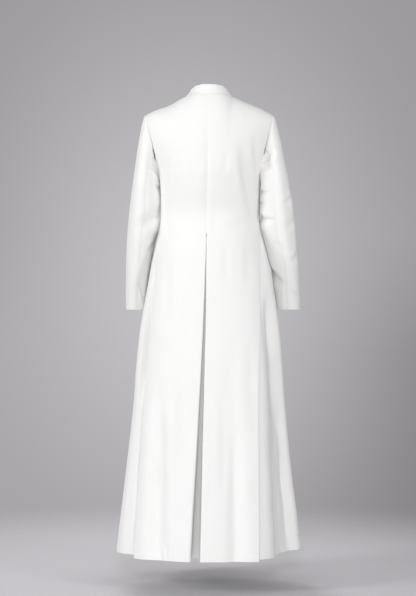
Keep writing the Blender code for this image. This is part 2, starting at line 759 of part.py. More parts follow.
def sleeve_grid(side):
    """The whole sleeve as one closed grid, cuff to armhole."""
    top, angles = armhole_loop(side)
    upness = (1.0 + np.cos(angles)) / 2.0
    top[:, 0] += side * (HEAD_CLEAR + (UNDERARM_CLEAR - HEAD_CLEAR) * (1.0 - upness))
    rows = []
    for i in range(SLEEVE_ROWS + 1):
        z = CUFF_Z + (SLEEVE_TOP_Z - CUFF_Z) * i / SLEEVE_ROWS
        rows.append([sleeve_point(side, z, angle) for angle in angles])
    low = np.array(rows[-1])
    below = [sleeve_point(side, SLEEVE_TOP_Z - SLEEVE_SLOPE_REACH, angle) for angle in angles]
    reach = np.linalg.norm(top - low, axis=1, keepdims=True)
    leave = unit(low - np.array(below)) * reach * HEAD_LEAVE
    arrive = unit(np.stack((
        -side * (1.0 - HEAD_TURN_IN * (1.0 - upness)),
        -HEAD_TURN_ROUND * np.sin(angles),
        1.0 - HEAD_FLATTEN * upness,
    ), axis=1)) * np.minimum(HEAD_REACH, reach)
    for i in range(1, CAP_ROWS + 1):
        rows.append(blend(low, leave, top, arrive, i / CAP_ROWS))
    grid = np.array(rows)
    closed = np.concatenate((grid[:, -1:], grid, grid[:, :2]), axis=1)
    across = tangents(closed)[:, 1:-2]
    up = np.swapaxes(tangents(np.swapaxes(grid, 0, 1)), 0, 1)
    up[0] = (0.0, 0.0, 1.0)
    return grid, unit(side * np.cross(across, up))


def sleeve_piece(grid, normals, first, last):
    """The columns of a sleeve from one seam round to the other."""
    columns = [column % grid.shape[1] for column in range(first, last + 1)]
    points = grid[:, columns].copy()
    pull_in(points, SEAM * 0.5)
    return points, normals[:, columns]


def button_mesh():
    """A lens-shaped covered button about its own Z axis."""
    mesh = bpy.data.meshes.new("covered_button")
    work = bmesh.new()
    bmesh.ops.create_uvsphere(work, u_segments=BUTTON_AROUND, v_segments=BUTTON_OVER, radius=1.0)
    bmesh.ops.scale(work, vec=(BUTTON_RADIUS, BUTTON_RADIUS, BUTTON_HALF_DEPTH), verts=work.verts)
    work.to_mesh(mesh)
    work.free()
    mesh.shade_smooth()
    return mesh


def material(name, colour, roughness):
    made = bpy.data.materials.new(name)
    made.use_nodes = True
    shader = made.node_tree.nodes["Principled BSDF"]
    shader.inputs["Base Color"].default_value = (*colour, 1.0)
    shader.inputs["Roughness"].default_value = roughness
    shader.inputs["Metallic"].default_value = 0.0
    return made


def place(name, mesh, finish, collection, matrix=None):
    made = bpy.data.objects.new(name, mesh)
    if not mesh.materials:
        mesh.materials.append(finish)
    if matrix is not None:
        made.matrix_world = matrix
    collection.objects.link(made)
    return made


def add_buttons(front, normals, collection):
    """Covered buttons down the centre line, just off the left front."""
    column = front.shape[1] - 2
    line, outward = front[:, column], normals[:, column]
    finish = material("button_cloth", CLOTH_COLOUR, CLOTH_ROUGHNESS)
    mesh = button_mesh()
    for i in range(BUTTON_COUNT):
        z = BUTTON_TOP_Z - BUTTON_PITCH * i
        seat = Vector([float(np.interp(z, line[:, 2], line[:, axis])) for axis in range(3)])
        row = int(np.searchsorted(line[:, 2], z))
        slope = Vector(line[row] - line[row - 1])
        facing = slope.cross(Vector((1.0, 0.0, 0.0))).normalized()
        if facing.dot(Vector(outward[row])) < 0.0:
            facing.negate()
        seat += facing * (WALL * 0.5 + BUTTON_GAP + BUTTON_HALF_DEPTH)
        turn = Vector((0.0, 0.0, 1.0)).rotation_difference(facing).to_matrix().to_4x4()
        place(f"button_{i + 1:02d}", mesh, finish, collection, Matrix.Translation(seat) @ turn)


def main():
    for old in list(bpy.data.objects):
        bpy.data.objects.remove(old, do_unlink=True)
    collection = bpy.data.collections.new(NAME)
    bpy.context.scene.collection.children.link(collection)

    def cloth(name, points, normals, thickness=WALL):
        mesh = wall_mesh(name, points, normals, thickness)
        place(name, mesh, material(name + "_cloth", CLOTH_COLOUR, CLOTH_ROUGHNESS), collection)

    for side, word in ((1, "left"), (-1, "right")):
        cloth("back_" + word, *trunk_piece(side, True))
        front, normals = trunk_piece(side, False)
        cloth("front_" + word, front, normals)
        if side > 0:
            add_buttons(front, normals, collection)
        grid, directions = sleeve_grid(side)
        back_seam = BODICE_ROWS - BACK_SEAM_STEP
        front_seam = BODICE_ROWS + FRONT_SEAM_STEP
        around = grid.shape[1]
        cloth("sleeve_under_" + word, *sleeve_piece(grid, directions, back_seam, front_seam))
        cloth("sleeve_upper_" + word, *sleeve_piece(grid, directions, front_seam, back_seam + around))

    levels = [ring(z) for z in SKIRT_LEVELS]
    strip = np.array([underlay_row(level) for level in levels])
    cloth("back_pleat_underlay", strip, np.array([level_normals(row, 1) for row in strip]))
    cloth("collar", *collar_piece(), COLLAR_WALL)


main()
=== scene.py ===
"""Cassock in white wool twill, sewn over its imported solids.

Each cloth piece is a thin shell on the form of the solid it stands for, with
the seams, turned hems, creases and stitches that the solid leaves out. The
garment faces -Y, the wearer's left is +X, and Z is 0 at the neck seam.
"""
import math

import bmesh
import bpy
import numpy as np
from bpy.props import FloatProperty, FloatVectorProperty, PointerProperty
from mathutils import Matrix, Vector
from mathutils.bvhtree import BVHTree


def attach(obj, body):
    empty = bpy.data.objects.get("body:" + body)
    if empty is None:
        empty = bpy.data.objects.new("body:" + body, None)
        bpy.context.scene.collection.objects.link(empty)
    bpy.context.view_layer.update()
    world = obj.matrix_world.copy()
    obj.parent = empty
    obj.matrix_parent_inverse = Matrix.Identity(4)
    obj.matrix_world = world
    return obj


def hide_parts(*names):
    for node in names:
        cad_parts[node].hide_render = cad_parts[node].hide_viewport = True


bl_info = {
    "name": "Cassock workroom",
    "version": (1, 0, 0),
    "blender": (4, 5, 0),
    "location": "View3D > Sidebar > Cassock",
    "description": "Cuts, drapes and finishes a full-length cassock",
    "category": "Object",
}

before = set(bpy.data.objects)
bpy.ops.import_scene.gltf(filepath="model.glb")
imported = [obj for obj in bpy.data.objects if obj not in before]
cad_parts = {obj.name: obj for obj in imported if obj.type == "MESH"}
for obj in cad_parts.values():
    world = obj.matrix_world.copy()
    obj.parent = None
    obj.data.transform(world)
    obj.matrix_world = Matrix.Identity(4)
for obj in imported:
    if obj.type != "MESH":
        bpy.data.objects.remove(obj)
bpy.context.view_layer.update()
BODY = "root"
SIDES = ((1, "left"), (-1, "right"))

# Heights of the trunk and the sizes of its cut, in metres like every length here
HEM_Z = -1.493
UNDERARM_Z = -0.250
TIP_Z = -0.060
CENTRE_PLEAT_Z = -0.459
SIDE_PLEAT_Z = -0.4125
CLOSED_STEP = 0.003
NECK_X = 0.0765
NECK_BACK = 0.062
NECK_FRONT = 0.075
TIP_X = 0.2085
ARMHOLE_DEPTH = 0.078
ROLL_POWER = 0.9
SEAM = 0.0001
LAYER = 0.0038
LAP = 0.018
LAP_DEPTH = 0.0024
LAP_CLEAR = 0.0015
LAP_STEP_WIDTH = 0.004
LAP_STEP_COLUMNS = 4
LAP_COLUMNS = 12
LAP_FLATTEN = 0.012

# Collar band
COLLAR_LIFT = 0.0004
COLLAR_HEIGHT_FRONT = 0.0290
COLLAR_TOP_X = 0.745
COLLAR_TOP_Y = 0.86
COLLAR_GAP = 0.0006
COLLAR_CURVE = 0.8
COLLAR_ROWS = 14
COLLAR_COLUMNS = 26
COLLAR_SEAM_WIDE = 0.0025
COLLAR_SEAM_DEEP = 0.0006
COLLAR_ROLL = 0.00035
COLLAR_ROLL_WIDE = 0.0035
COLLAR_LINE = 0.00018
COLLAR_LINE_BELOW = 0.005
COLLAR_LINE_WIDE = 0.0008
COLLAR_UNEVEN = 0.0002
# The collar's unevenness is finer than the cloth's, by axis
COLLAR_RATES = ((0, 2.0), (2, 3.0))

# Sleeves
SLEEVE_TOP_Z = -0.300
CUFF_Z = -0.7013
SLEEVE_SQUARE = 2.15
SLEEVE_SPREAD = 1.4
HEAD_REACH = 0.050
HEAD_CLEAR = 0.0003
UNDERARM_CLEAR = 0.0012
HEAD_LEAVE = 0.9
HEAD_TURN_IN = 0.75
HEAD_TURN_ROUND = 0.45
HEAD_FLATTEN = 0.65
SLEEVE_SLOPE_REACH = 0.020
SLEEVE_GIRTH = 0.045
SLEEVE_ROWS = 66
CAP_ROWS = 24
HEAD_FULLNESS = 0.0007
HEAD_FULL_BELOW = 0.008
HEAD_FULL_WIDE = 0.006
REST_SPREAD = math.radians(46.0)
ELBOW_SEAM_WIDER = 1.2
ELBOW_SEAM_DEEPER = 2.4
HEAD_SEAM_SHALLOWER = 0.7
CUFF_PUCKER = 0.3

# Front closure
BUTTON_COUNT = 17
BUTTON_TOP_Z = -0.100
BUTTON_PITCH = 0.078
BUTTON_TWIST = 0.9
BUTTON_STEPS = 28
BUTTON_GATHERS = 14.0
BUTTON_GATHER_DEPTH = 0.02
BUTTON_GATHER_FROM = (0.5, 0.35)
CROWN_STEPS = 10
CROWN_FOOT = 0.42
CROWN_RISE = 0.58
CROWN_POWERS = (0.8, 1.2)
# The back of a button, in shares of its radius and depth
BUTTON_BACK = ((0.985, 0.30), (0.90, 0.20), (0.62, 0.14), (0.34, 0.13), (0.30, 0.0), (0.0, 0.0))

# Buttonholes and stitches
HOLE_STEPS = 72
HOLE_HALF_WIDTH = 0.0011
HOLE_SQUARE = 0.55
HOLE_OUT = 0.72
HOLE_LIFT = 0.35
HOLE_THREAD = (0.85, 1.10)
FRONT_STITCH_IN = 0.006
FRONT_STITCH_TOP_Z = -0.075
FRONT_STITCH_FOOT = 0.004
STITCH_SHARE = 0.84
STITCH_STEPS = 5
# A stitch in thread widths: how high it arches from how deep, and its radius
STITCH_ARCH = 1.6
STITCH_SINK = 0.6
STITCH_END = 0.34
STITCH_SWELL = 0.16
COLLAR_STITCH_ROWS = (0.13, 0.87)
COLLAR_STITCH_STEPS = 360
COLLAR_STITCH_GAP = 0.1
COLLAR_HITS_NEEDED = 3
COLLAR_RAYS = 64
COLLAR_RAY_START = 0.3
COLLAR_RAY_LOW_Z = -0.05
COLLAR_RAY_SPAN = 0.055
# Stitches of the tack in pitches from the seam, with the seam's own gap left out
TACK_STEPS = (-3, -2, -1, 2, 3)
TACK_PITCH = 0.0011
TACK_LENGTH = 0.0026
TACK_ABOVE = 0.004

# Shoulder seam: how far down the cloth moves with it, and the left shoulder's hollow
SETTLE_REACH = 0.070
SHOULDER_HOLLOW_X = 0.135
SHOULDER_HOLLOW_WIDE = 0.034
SHOULDER_HOLLOW_DEEP = 0.0062

# Valley of the centre back seam: its depth, the height where each end starts and
# how far it fades there, and its half width on each side
VALLEY_DEEP = 0.0022
VALLEY_FOOT_Z = -0.44
VALLEY_FOOT_FADE = 0.12
VALLEY_HEAD_Z = -0.09
VALLEY_HEAD_FADE = 0.10
VALLEY_WIDE = {1: 0.010, -1: 0.006}

# Bow of the pleat's underlay: its depth, half width, top and how far it fades in
UNDERLAY_BOW = 0.012
UNDERLAY_BOW_WIDE = 0.034
UNDERLAY_BOW_TOP_Z = -0.56
UNDERLAY_BOW_FADE = 0.5

# Turned hems: softness of the inner edge, share of a layer that the turning adds,
# the line of stitches, and its puckers with the rates of their beat, sway and swell
HEM_SOFTNESS = 0.0015
HEM_THICKER = 0.6
HEM_LINE_WIDE = 0.0022
HEM_LINE_DEEP = 0.00022
PUCKER_BELOW = 0.004
PUCKER_WIDE = 0.007
PUCKER_RATES = (410.0, 67.0, 29.0)
PUCKER_SWAY = 3.0
PUCKER_STEADY = 0.6
PUCKER_SWELL = 0.4

# Slight unevenness: two slow and two quick waves, by their rate across, their
# rate along and their start, and how still the cloth is held at the hem
UNEVEN_WAVES = ((31.0, 6.0, 1.3), (-5.0, 15.0, 0.4), (83.0, -17.0, 2.1), (11.0, 47.0, 0.0))
SLOW_SHARE = 0.75
HEM_STILLNESS = 0.8
HEM_STILL_WIDE = 0.02

# Creases: their raised sides, growth in width along the line, waver in depth, and
# how far behind the middle those of the sides fade in
CREASE_SIDE_HEIGHT = 0.32
CREASE_SIDE_OUT = 1.8
CREASE_WIDTH_START = 0.8
CREASE_WIDTH_GROWTH = 0.4
CREASE_WAVER = 0.12
CREASE_WAVER_RATE = 36.0
CREASE_WAVER_START = 90.0
SIDE_FADE = 0.030

# Floor, backdrop and lights: a light's place and width, all aimed at one spot
FLOOR_RADIUS = 6.0
FLOOR_CORNERS = 96
FLOOR_FADE = (0.5, 2.2)
BACKDROP_RISE = (-0.032, 0.037)
BACKDROP_CROSS = (-0.12, 0.12)
ROOM_START = (-0.90, 0.10)
ROOM_TINT = (1.0, 0.985, 1.01)
GLOW_SCALE = (5.55, 0.0, 4.15)
GLOW_SHIFT = (-0.074, 0.0, -0.037)
LIGHTS = {
    "left": ((4.9, 2.6, 1.2), 1.8),
    "right": ((-4.2, 4.0, 0.8), 1.4),
    "fill": ((0.06, 6.5, 0.9), 1.3),
    "front": ((1.2, -4.4, 0.8), 2.4),
}
LIGHT_AIM = Vector((0.0, 0.0, -0.7))
CAMERA_PLACE = (0.0043, 5.5, -0.663)

# Twill: how steep its ribs run, their waver, and the yarns that cross them
RIB_SLOPE = 0.62
RIB_WAVER_SCALE = 60.0
RIB_WAVER = 2.2
RIB_HEIGHT = 0.36
YARNS_PER_RIB = 1.7
YARN_HEIGHT = 0.12
MIDDLE_HEIGHT = 0.5
# TONE_RANGE and TONE_LOW darken the cloth's colour where the weave's relief is low: a painted shade
# in the weave's hollows
TONE_RANGE = 0.05
TONE_LOW = 0.965

# Wool: broad patches and small flecks, and how gloss follows pressing and flecks
PATCH_SCALE = 7.0
PATCH_SHARE = 0.65
FLECK_SCALE = 420.0
FLECK_SHARE = 0.35
PRESSED_GLOSS = -0.10
FLECK_GLOSS = 0.08
NAP_HEIGHT = 0.5
CLOTH_RELIEF_DEPTH = 0.0002
SHEEN_ROUGHNESS = 0.45
CLOTH_SPECULAR = 0.30
THREAD_ROUGHNESS = 0.48
THREAD_SHADE = 0.94
THREAD_RELIEF = 0.4
THREAD_RELIEF_DEPTH = 0.0001
FLOOR_ROUGHNESS = 0.9
FLOOR_SHADE = 0.97
FLOOR_PATCH_SCALE = 3.0

# Finish of each cloth: roughness, strength of the weave's relief and sheen
CLOTH_FINISHES = {
    "white_twill": (0.82, 0.35, 0.12),
    "interfaced_twill": (0.76, 0.28, 0.10),
    "button_twill": (0.70, 0.40, 0.16),
}

# Folds and rounded corners
FOLD_RISE = 1.4
FOLD_REACH = 0.0025
EDGE_EASE = 0.07
LEG_SHARE = 0.45
SLOPE_REACH = 0.002

# Mesh steps
BODICE_ROWS = 36
ROW_POWER = 1.3
NECK_COLUMNS = 13
SHOULDER_COLUMNS = 24
TIGHT_STEPS = 5
SOFT_STEPS = 7
SKIRT_STEPS = 112
CLOSING_LEVELS = 6
WAIST_STEPS = 22
BACK_SEAM_STEP = 12
FRONT_SEAM_STEP = 8
BISECTIONS = 40
TINY = 1e-9
FAR = 1e9
MERGE_DISTANCE = 1e-6
RIM_ANGLE = math.radians(32.0)
RIM_ROUND = 0.7
RING_HALF_SWEEP = math.radians(196.0)
RING_POINTS = 785

CENTRE_LEGS = (8, 2)
SIDE_LEGS = (2, 7)
UNDER_LEGS = (2, 2, 9, 6, 6, 5)
UNDERLAY_LEGS = (6, 2, 16, 2, 6)
CENTRE_FLAP = sum(CENTRE_LEGS) + 2 * TIGHT_STEPS
SIDE_FLAP = sum(SIDE_LEGS) + 2 * TIGHT_STEPS
FRONT_FLAP = sum(UNDER_LEGS) + 2 * TIGHT_STEPS + 4 * SOFT_STEPS


def table(columns, *rows):
    """Named columns from rows of numbers."""
    return dict(zip(columns.split(), np.array(rows, dtype=float).T))


# Half widths and depths of the level ring, and how square its back corners are
TRUNK = table(
    "z left right back front square_left square_right",
    (-1.493, 0.3045, 0.3050, 0.265, 0.228, 2.25, 3.00),
    (-1.200, 0.2700, 0.2710, 0.228, 0.200, 2.25, 2.90),
    (-0.950, 0.2440, 0.2470, 0.195, 0.175, 2.25, 2.75),
    (-0.750, 0.2220, 0.2255, 0.166, 0.156, 2.25, 2.60),
    (-0.600, 0.1980, 0.2070, 0.143, 0.142, 2.25, 2.40),
    (-0.520, 0.1840, 0.1900, 0.130, 0.134, 2.25, 2.30),
    (-0.459, 0.1700, 0.1760, 0.116, 0.124, 2.25, 2.25),
    (-0.386, 0.1625, 0.1660, 0.101, 0.112, 2.25, 2.25),
    (-0.310, 0.1640, 0.1665, 0.112, 0.119, 2.25, 2.25),
    (-0.250, 0.1705, 0.1705, 0.119, 0.125, 2.25, 2.25),
)
FRONT_SQUARE = 2.2

# X of the centre back seam, by height
SEAM_LINE = table(
    "z x",
    (-0.459, 0.0089),
    (-0.250, 0.0060),
    (0.000, 0.0030),
)

# Inverted pleat: X of both folds, how far each turns in there, and how far its
# inner fold lies beyond it and inside the ring
CENTRE_PLEAT = table(
    "z left_x right_x left_turn right_turn tuck depth",
    (-1.493, 0.0605, 0.0291, 0.0200, 0.0050, 0.050, 0.0950),
    (-1.200, 0.0442, 0.0221, 0.0140, 0.0050, 0.050, 0.0700),
    (-0.950, 0.0298, 0.0164, 0.0090, 0.0045, 0.048, 0.0460),
    (-0.700, 0.0183, 0.0104, 0.0060, 0.0040, 0.044, 0.0220),
    (-0.459, 0.0099, 0.0079, 0.0038, 0.0038, 0.040, 0.0038),
)

# Side pleats: edge is the fold's angle from the centre back in degrees, each
# "along" runs from that fold towards the front, and each depth in from the ring
SIDE_COLUMNS = (
    "z edge turn tuck depth second_along second_depth wall_along wall_depth"
    " valley_along valley_depth rise soft"
)
SIDE_LEFT = table(
    SIDE_COLUMNS,
    (-1.493, 50.2, 0.0080, 0.060, 0.0300, 0.000, 0.0600, 0.035, 0.0520, 0.070, 0.0300, 0.140, 0.030),
    (-1.200, 53.6, 0.0070, 0.056, 0.0240, 0.000, 0.0480, 0.028, 0.0400, 0.055, 0.0240, 0.110, 0.025),
    (-0.950, 56.2, 0.0060, 0.050, 0.0180, 0.000, 0.0340, 0.022, 0.0280, 0.042, 0.0160, 0.080, 0.020),
    (-0.750, 56.6, 0.0050, 0.044, 0.0120, 0.000, 0.0260, 0.016, 0.0240, 0.030, 0.0100, 0.055, 0.015),
    (-0.600, 62.0, 0.0040, 0.038, 0.0070, 0.000, 0.0170, 0.010, 0.0160, 0.020, 0.0070, 0.035, 0.010),
    (-0.4125, 76.0, 0.0038, 0.030, 0.0038, 0.000, 0.0076, 0.004, 0.0072, 0.008, 0.0050, 0.014, 0.002),
)
SIDE_RIGHT = table(
    SIDE_COLUMNS,
    (-1.493, 21.6, 0.0045, 0.050, 0.0300, 0.040, 0.0420, 0.158, 0.0850, 0.245, 0.0800, 0.335, 0.030),
    (-1.200, 27.0, 0.0045, 0.048, 0.0240, 0.030, 0.0320, 0.120, 0.0620, 0.185, 0.0600, 0.270, 0.025),
    (-0.950, 32.6, 0.0042, 0.045, 0.0170, 0.022, 0.0220, 0.080, 0.0400, 0.130, 0.0420, 0.205, 0.020),
    (-0.750, 41.6, 0.0040, 0.040, 0.0100, 0.010, 0.0200, 0.034, 0.0300, 0.068, 0.0220, 0.112, 0.014),
    (-0.600, 48.0, 0.0038, 0.036, 0.0060, 0.004, 0.0150, 0.014, 0.0180, 0.032, 0.0100, 0.056, 0.008),
    (-0.4125, 76.0, 0.0038, 0.030, 0.0038, 0.000, 0.0076, 0.004, 0.0072, 0.008, 0.0050, 0.014, 0.002),
)

# Broad soft folds: X at the hem and at the top, height of the top, half width,
# depth at the hem, and 1 for the back or 0 for the front
SOFT_FOLDS = table(
    "hem_x top_x top_z width depth back",
    (0.1330, 0.1150, -0.72, 0.034, 0.0090, 1),
    (-0.0790, -0.0700, -0.62, 0.034, 0.0080, 1),
    (0.1900, 0.1300, -0.60, 0.040, 0.0120, 0),
    (0.0850, 0.0700, -0.75, 0.034, 0.0080, 0),
    (-0.1000, -0.0800, -0.66, 0.036, 0.0090, 0),
    (-0.2050, -0.1350, -0.58, 0.042, 0.0120, 0),
)

# Height of the shoulder's ridge by distance from the centre, on back and front
RIDGE = table(
    "x back front",
    (-0.030, 0.0360, -0.0190),
    (0.000, 0.0400, -0.0250),
    (0.030, 0.0360, -0.0190),
    (0.055, 0.0210, -0.0080),
    (0.0765, 0.0000, 0.0000),
    (0.120, -0.0190, -0.0190),
    (0.165, -0.0385, -0.0385),
    (0.2085, -0.0600, -0.0600),
)

# X of the armhole's edge by height, on back and front
ARMHOLE = table(
    "z back front",
    (-0.250, 0.1705, 0.1705),
    (-0.225, 0.1735, 0.1690),
    (-0.175, 0.1825, 0.1700),
    (-0.125, 0.1950, 0.1800),
    (-0.085, 0.2045, 0.1960),
    (-0.060, 0.2085, 0.2085),
)

# Sleeves by height: distance of the inner and outer edge from the garment's
# centre, and the middle and half of their depth
SLEEVE_COLUMNS = "z inner outer y_centre half_depth"
SLEEVE_LEFT = table(
    SLEEVE_COLUMNS,
    (-0.7013, 0.2120, 0.2778, -0.066, 0.055),
    (-0.6500, 0.2085, 0.2775, -0.056, 0.057),
    (-0.5840, 0.2030, 0.2760, -0.040, 0.060),
    (-0.5050, 0.1925, 0.2730, -0.024, 0.064),
    (-0.4257, 0.1785, 0.2680, -0.012, 0.069),
    (-0.3465, 0.1725, 0.2600, -0.006, 0.073),
    (-0.3000, 0.1745, 0.2535, -0.004, 0.075),
)
SLEEVE_RIGHT = table(
    SLEEVE_COLUMNS,
    (-0.7013, 0.2234, 0.3030, -0.056, 0.056),
    (-0.6500, 0.2205, 0.2995, -0.047, 0.058),
    (-0.5840, 0.2140, 0.2960, -0.034, 0.061),
    (-0.5050, 0.1980, 0.2900, -0.020, 0.065),
    (-0.4257, 0.1815, 0.2830, -0.011, 0.070),
    (-0.3465, 0.1775, 0.2750, -0.006, 0.074),
    (-0.3000, 0.1770, 0.2660, -0.004, 0.076),
)

# Creases: from one end to the other, how far the line bows, half width, depth
# (below 0 for a ridge), lean towards one side, and the share that fades out
CREASE_COLUMNS = "start_a start_z end_a end_z bow width depth lean fade"
BACK_CREASES = table(
    CREASE_COLUMNS,
    (0.1540, -0.160, 0.1500, -0.500, 0.000, 0.007, -0.0040, 0.0, 0.30),
    (0.1319, -0.175, 0.1440, -0.345, 0.002, 0.009, 0.0013, 0.2, 0.40),
    (0.0690, -0.160, 0.0404, -0.310, -0.003, 0.012, 0.0016, -0.3, 0.40),
    (-0.0985, -0.150, -0.1561, -0.440, 0.006, 0.018, 0.0074, -0.3, 0.34),
    (-0.1434, -0.120, -0.1600, -0.300, 0.002, 0.009, 0.0036, -0.2, 0.40),
    (-0.0600, -0.180, -0.0480, -0.290, 0.001, 0.010, 0.0014, 0.2, 0.45),
    (-0.0350, -0.436, -0.1600, -0.420, -0.003, 0.022, 0.0026, 0.3, 0.45),
    (-0.0540, -0.480, -0.0640, -0.640, 0.002, 0.012, 0.0018, 0.2, 0.45),
    (-0.1200, -0.470, -0.1240, -0.660, -0.002, 0.014, 0.0020, -0.2, 0.45),
    (0.1290, -0.500, 0.1400, -0.800, 0.002, 0.018, 0.0024, 0.2, 0.45),
    (0.0620, -0.560, 0.0780, -0.900, 0.003, 0.016, 0.0014, -0.2, 0.45),
    (0.1000, -0.850, 0.1180, -1.250, 0.004, 0.020, 0.0024, 0.3, 0.45),
    (-0.1330, -0.760, -0.1440, -1.150, 0.003, 0.016, 0.0020, 0.2, 0.45),
    (-0.0350, -0.900, -0.0480, -1.380, -0.003, 0.014, 0.0016, -0.2, 0.45),
    (0.1540, -0.900, 0.1680, -1.640, 0.001, 0.022, 0.0155, 0.1, 0.40),
    (-0.0800, -1.060, -0.0850, -1.600, 0.002, 0.018, 0.0050, -0.2, 0.34),
    (0.0480, -0.120, 0.0900, -0.215, -0.004, 0.015, 0.0010, 0.0, 0.45),
    (0.1560, -1.440, 0.1500, -1.505, 0.001, 0.005, 0.0022, 0.2, 0.40),
    (0.1360, -1.430, 0.1330, -1.505, 0.001, 0.005, 0.0026, -0.2, 0.40),
    (0.1190, -1.452, 0.1180, -1.505, 0.001, 0.004, 0.0018, 0.2, 0.40),
)
SIDE_CREASES = table(
    CREASE_COLUMNS,
    (-0.1860, -0.620, -0.2320, -1.140, 0.000, 0.020, 0.0172, -0.1, 0.20),
    (-0.2280, -1.000, -0.2960, -1.660, 0.000, 0.034, 0.0165, -0.1, 0.24),
    (0.1760, -0.460, 0.2160, -1.000, 0.000, 0.012, 0.0130, 0.0, 0.30),
    (0.1970, -0.700, 0.2680, -1.600, 0.000, 0.010, 0.0080, 0.0, 0.24),
)
FRONT_CREASES = table(
    CREASE_COLUMNS,
    (0.1480, -0.150, 0.0950, -0.265, 0.006, 0.013, 0.0030, 0.2, 0.42),
    (-0.1500, -0.145, -0.1050, -0.280, -0.006, 0.013, 0.0034, -0.2, 0.42),
    (0.0250, -0.352, 0.1200, -0.372, 0.003, 0.007, 0.0016, 0.2, 0.45),
    (0.0280, -0.405, 0.1350, -0.392, -0.003, 0.008, 0.0018, -0.2, 0.45),
    (-0.0300, -0.360, -0.1250, -0.378, -0.003, 0.007, 0.0017, 0.2, 0.45),
    (-0.0320, -0.412, -0.1300, -0.401, 0.002, 0.008, 0.0018, -0.2, 0.45),
    (0.0600, -0.500, 0.0760, -0.860, 0.003, 0.015, 0.0030, 0.2, 0.42),
    (0.1250, -0.470, 0.1550, -0.760, 0.004, 0.016, 0.0036, 0.2, 0.42),
    (-0.0680, -0.490, -0.0780, -0.820, -0.003, 0.014, 0.0030, -0.2, 0.42),
    (-0.1280, -0.480, -0.1600, -0.800, -0.004, 0.017, 0.0036, -0.2, 0.42),
    (0.0360, -0.780, 0.0420, -1.260, 0.002, 0.013, 0.0026, 0.2, 0.42),
    (-0.0380, -0.840, -0.0480, -1.330, 0.003, 0.013, 0.0026, -0.2, 0.42),
    (0.1350, -0.980, 0.1520, -1.520, 0.003, 0.016, 0.0040, -0.2, 0.36),
    (-0.1500, -1.020, -0.1640, -1.520, -0.003, 0.016, 0.0040, 0.2, 0.36),
    (0.2350, -0.900, 0.2550, -1.520, 0.002, 0.016, 0.0044, 0.2, 0.36),
    (-0.2380, -0.880, -0.2600, -1.520, -0.002, 0.016, 0.0044, -0.2, 0.36),
)

# On a sleeve the first place is the angle round it, 0 outside and 90 behind
LEFT_SLEEVE_CREASES = table(
    CREASE_COLUMNS,
    (158.0, -0.140, 160.0, -0.480, 0.000, 0.022, -0.0110, 0.0, 0.26),
    (128.0, -0.184, 152.0, -0.226, 0.003, 0.005, 0.0040, 0.3, 0.40),
    (98.0, -0.226, 170.0, -0.272, 0.005, 0.009, 0.0060, 0.3, 0.34),
    (118.0, -0.290, 178.0, -0.312, 0.003, 0.008, 0.0040, -0.3, 0.36),
    (170.0, -0.346, 96.0, -0.452, 0.006, 0.017, 0.0075, -0.3, 0.34),
    (178.0, -0.380, 118.0, -0.410, 0.003, 0.007, 0.0040, 0.3, 0.36),
    (176.0, -0.455, 128.0, -0.520, 0.004, 0.010, 0.0036, 0.2, 0.40),
    (120.0, -0.520, 112.0, -0.640, 0.003, 0.011, 0.0030, 0.3, 0.40),
    (98.0, -0.612, 138.0, -0.676, 0.003, 0.007, 0.0044, 0.3, 0.34),
    (62.0, -0.200, 74.0, -0.330, 0.003, 0.012, 0.0016, 0.2, 0.45),
    (40.0, -0.420, 66.0, -0.570, 0.003, 0.013, 0.0016, -0.2, 0.45),
    (200.0, -0.388, 268.0, -0.366, 0.004, 0.008, 0.0048, 0.2, 0.36),
    (196.0, -0.420, 276.0, -0.436, -0.003, 0.009, 0.0052, -0.2, 0.36),
    (214.0, -0.462, 280.0, -0.500, 0.003, 0.009, 0.0040, 0.2, 0.40),
    (226.0, -0.250, 292.0, -0.215, 0.003, 0.009, 0.0036, 0.2, 0.40),
    (300.0, -0.540, 330.0, -0.660, 0.002, 0.010, 0.0020, 0.2, 0.45),
)
RIGHT_SLEEVE_CREASES = table(
    CREASE_COLUMNS,
    (140.0, -0.130, 144.0, -0.610, 0.000, 0.017, -0.0140, 0.0, 0.20),
    (150.0, -0.224, 62.0, -0.168, 0.005, 0.008, 0.0064, 0.3, 0.34),
    (156.0, -0.252, 96.0, -0.228, 0.003, 0.007, 0.0050, -0.3, 0.34),
    (172.0, -0.300, 116.0, -0.324, 0.003, 0.008, 0.0048, 0.3, 0.36),
    (178.0, -0.372, 108.0, -0.416, 0.005, 0.010, 0.0068, 0.3, 0.34),
    (172.0, -0.345, 128.0, -0.352, 0.002, 0.006, 0.0034, 0.3, 0.36),
    (80.0, -0.356, 14.0, -0.322, 0.002, 0.009, 0.0030, 0.3, 0.40),
    (74.0, -0.440, 10.0, -0.396, 0.003, 0.010, 0.0032, -0.3, 0.40),
    (84.0, -0.548, 8.0, -0.508, 0.003, 0.010, 0.0030, 0.3, 0.40),
    (172.0, -0.548, 106.0, -0.630, 0.004, 0.014, 0.0052, 0.3, 0.36),
    (88.0, -0.636, 12.0, -0.672, -0.002, 0.009, 0.0028, 0.3, 0.40),
    (50.0, -0.235, 46.0, -0.560, 0.003, 0.013, 0.0022, 0.2, 0.36),
    (118.0, -0.470, 84.0, -0.520, 0.002, 0.009, 0.0028, -0.2, 0.42),
    (196.0, -0.404, 272.0, -0.380, 0.004, 0.008, 0.0050, 0.2, 0.36),
    (190.0, -0.436, 280.0, -0.452, -0.003, 0.009, 0.0052, -0.2, 0.36),
    (210.0, -0.480, 284.0, -0.520, 0.003, 0.009, 0.0042, 0.2, 0.40),
    (222.0, -0.262, 288.0, -0.222, 0.003, 0.009, 0.0036, 0.2, 0.40),
    (296.0, -0.560, 332.0, -0.680, 0.002, 0.010, 0.0020, 0.2, 0.45),
)
SLEEVE_CREASES = {"left": LEFT_SLEEVE_CREASES, "right": RIGHT_SLEEVE_CREASES}

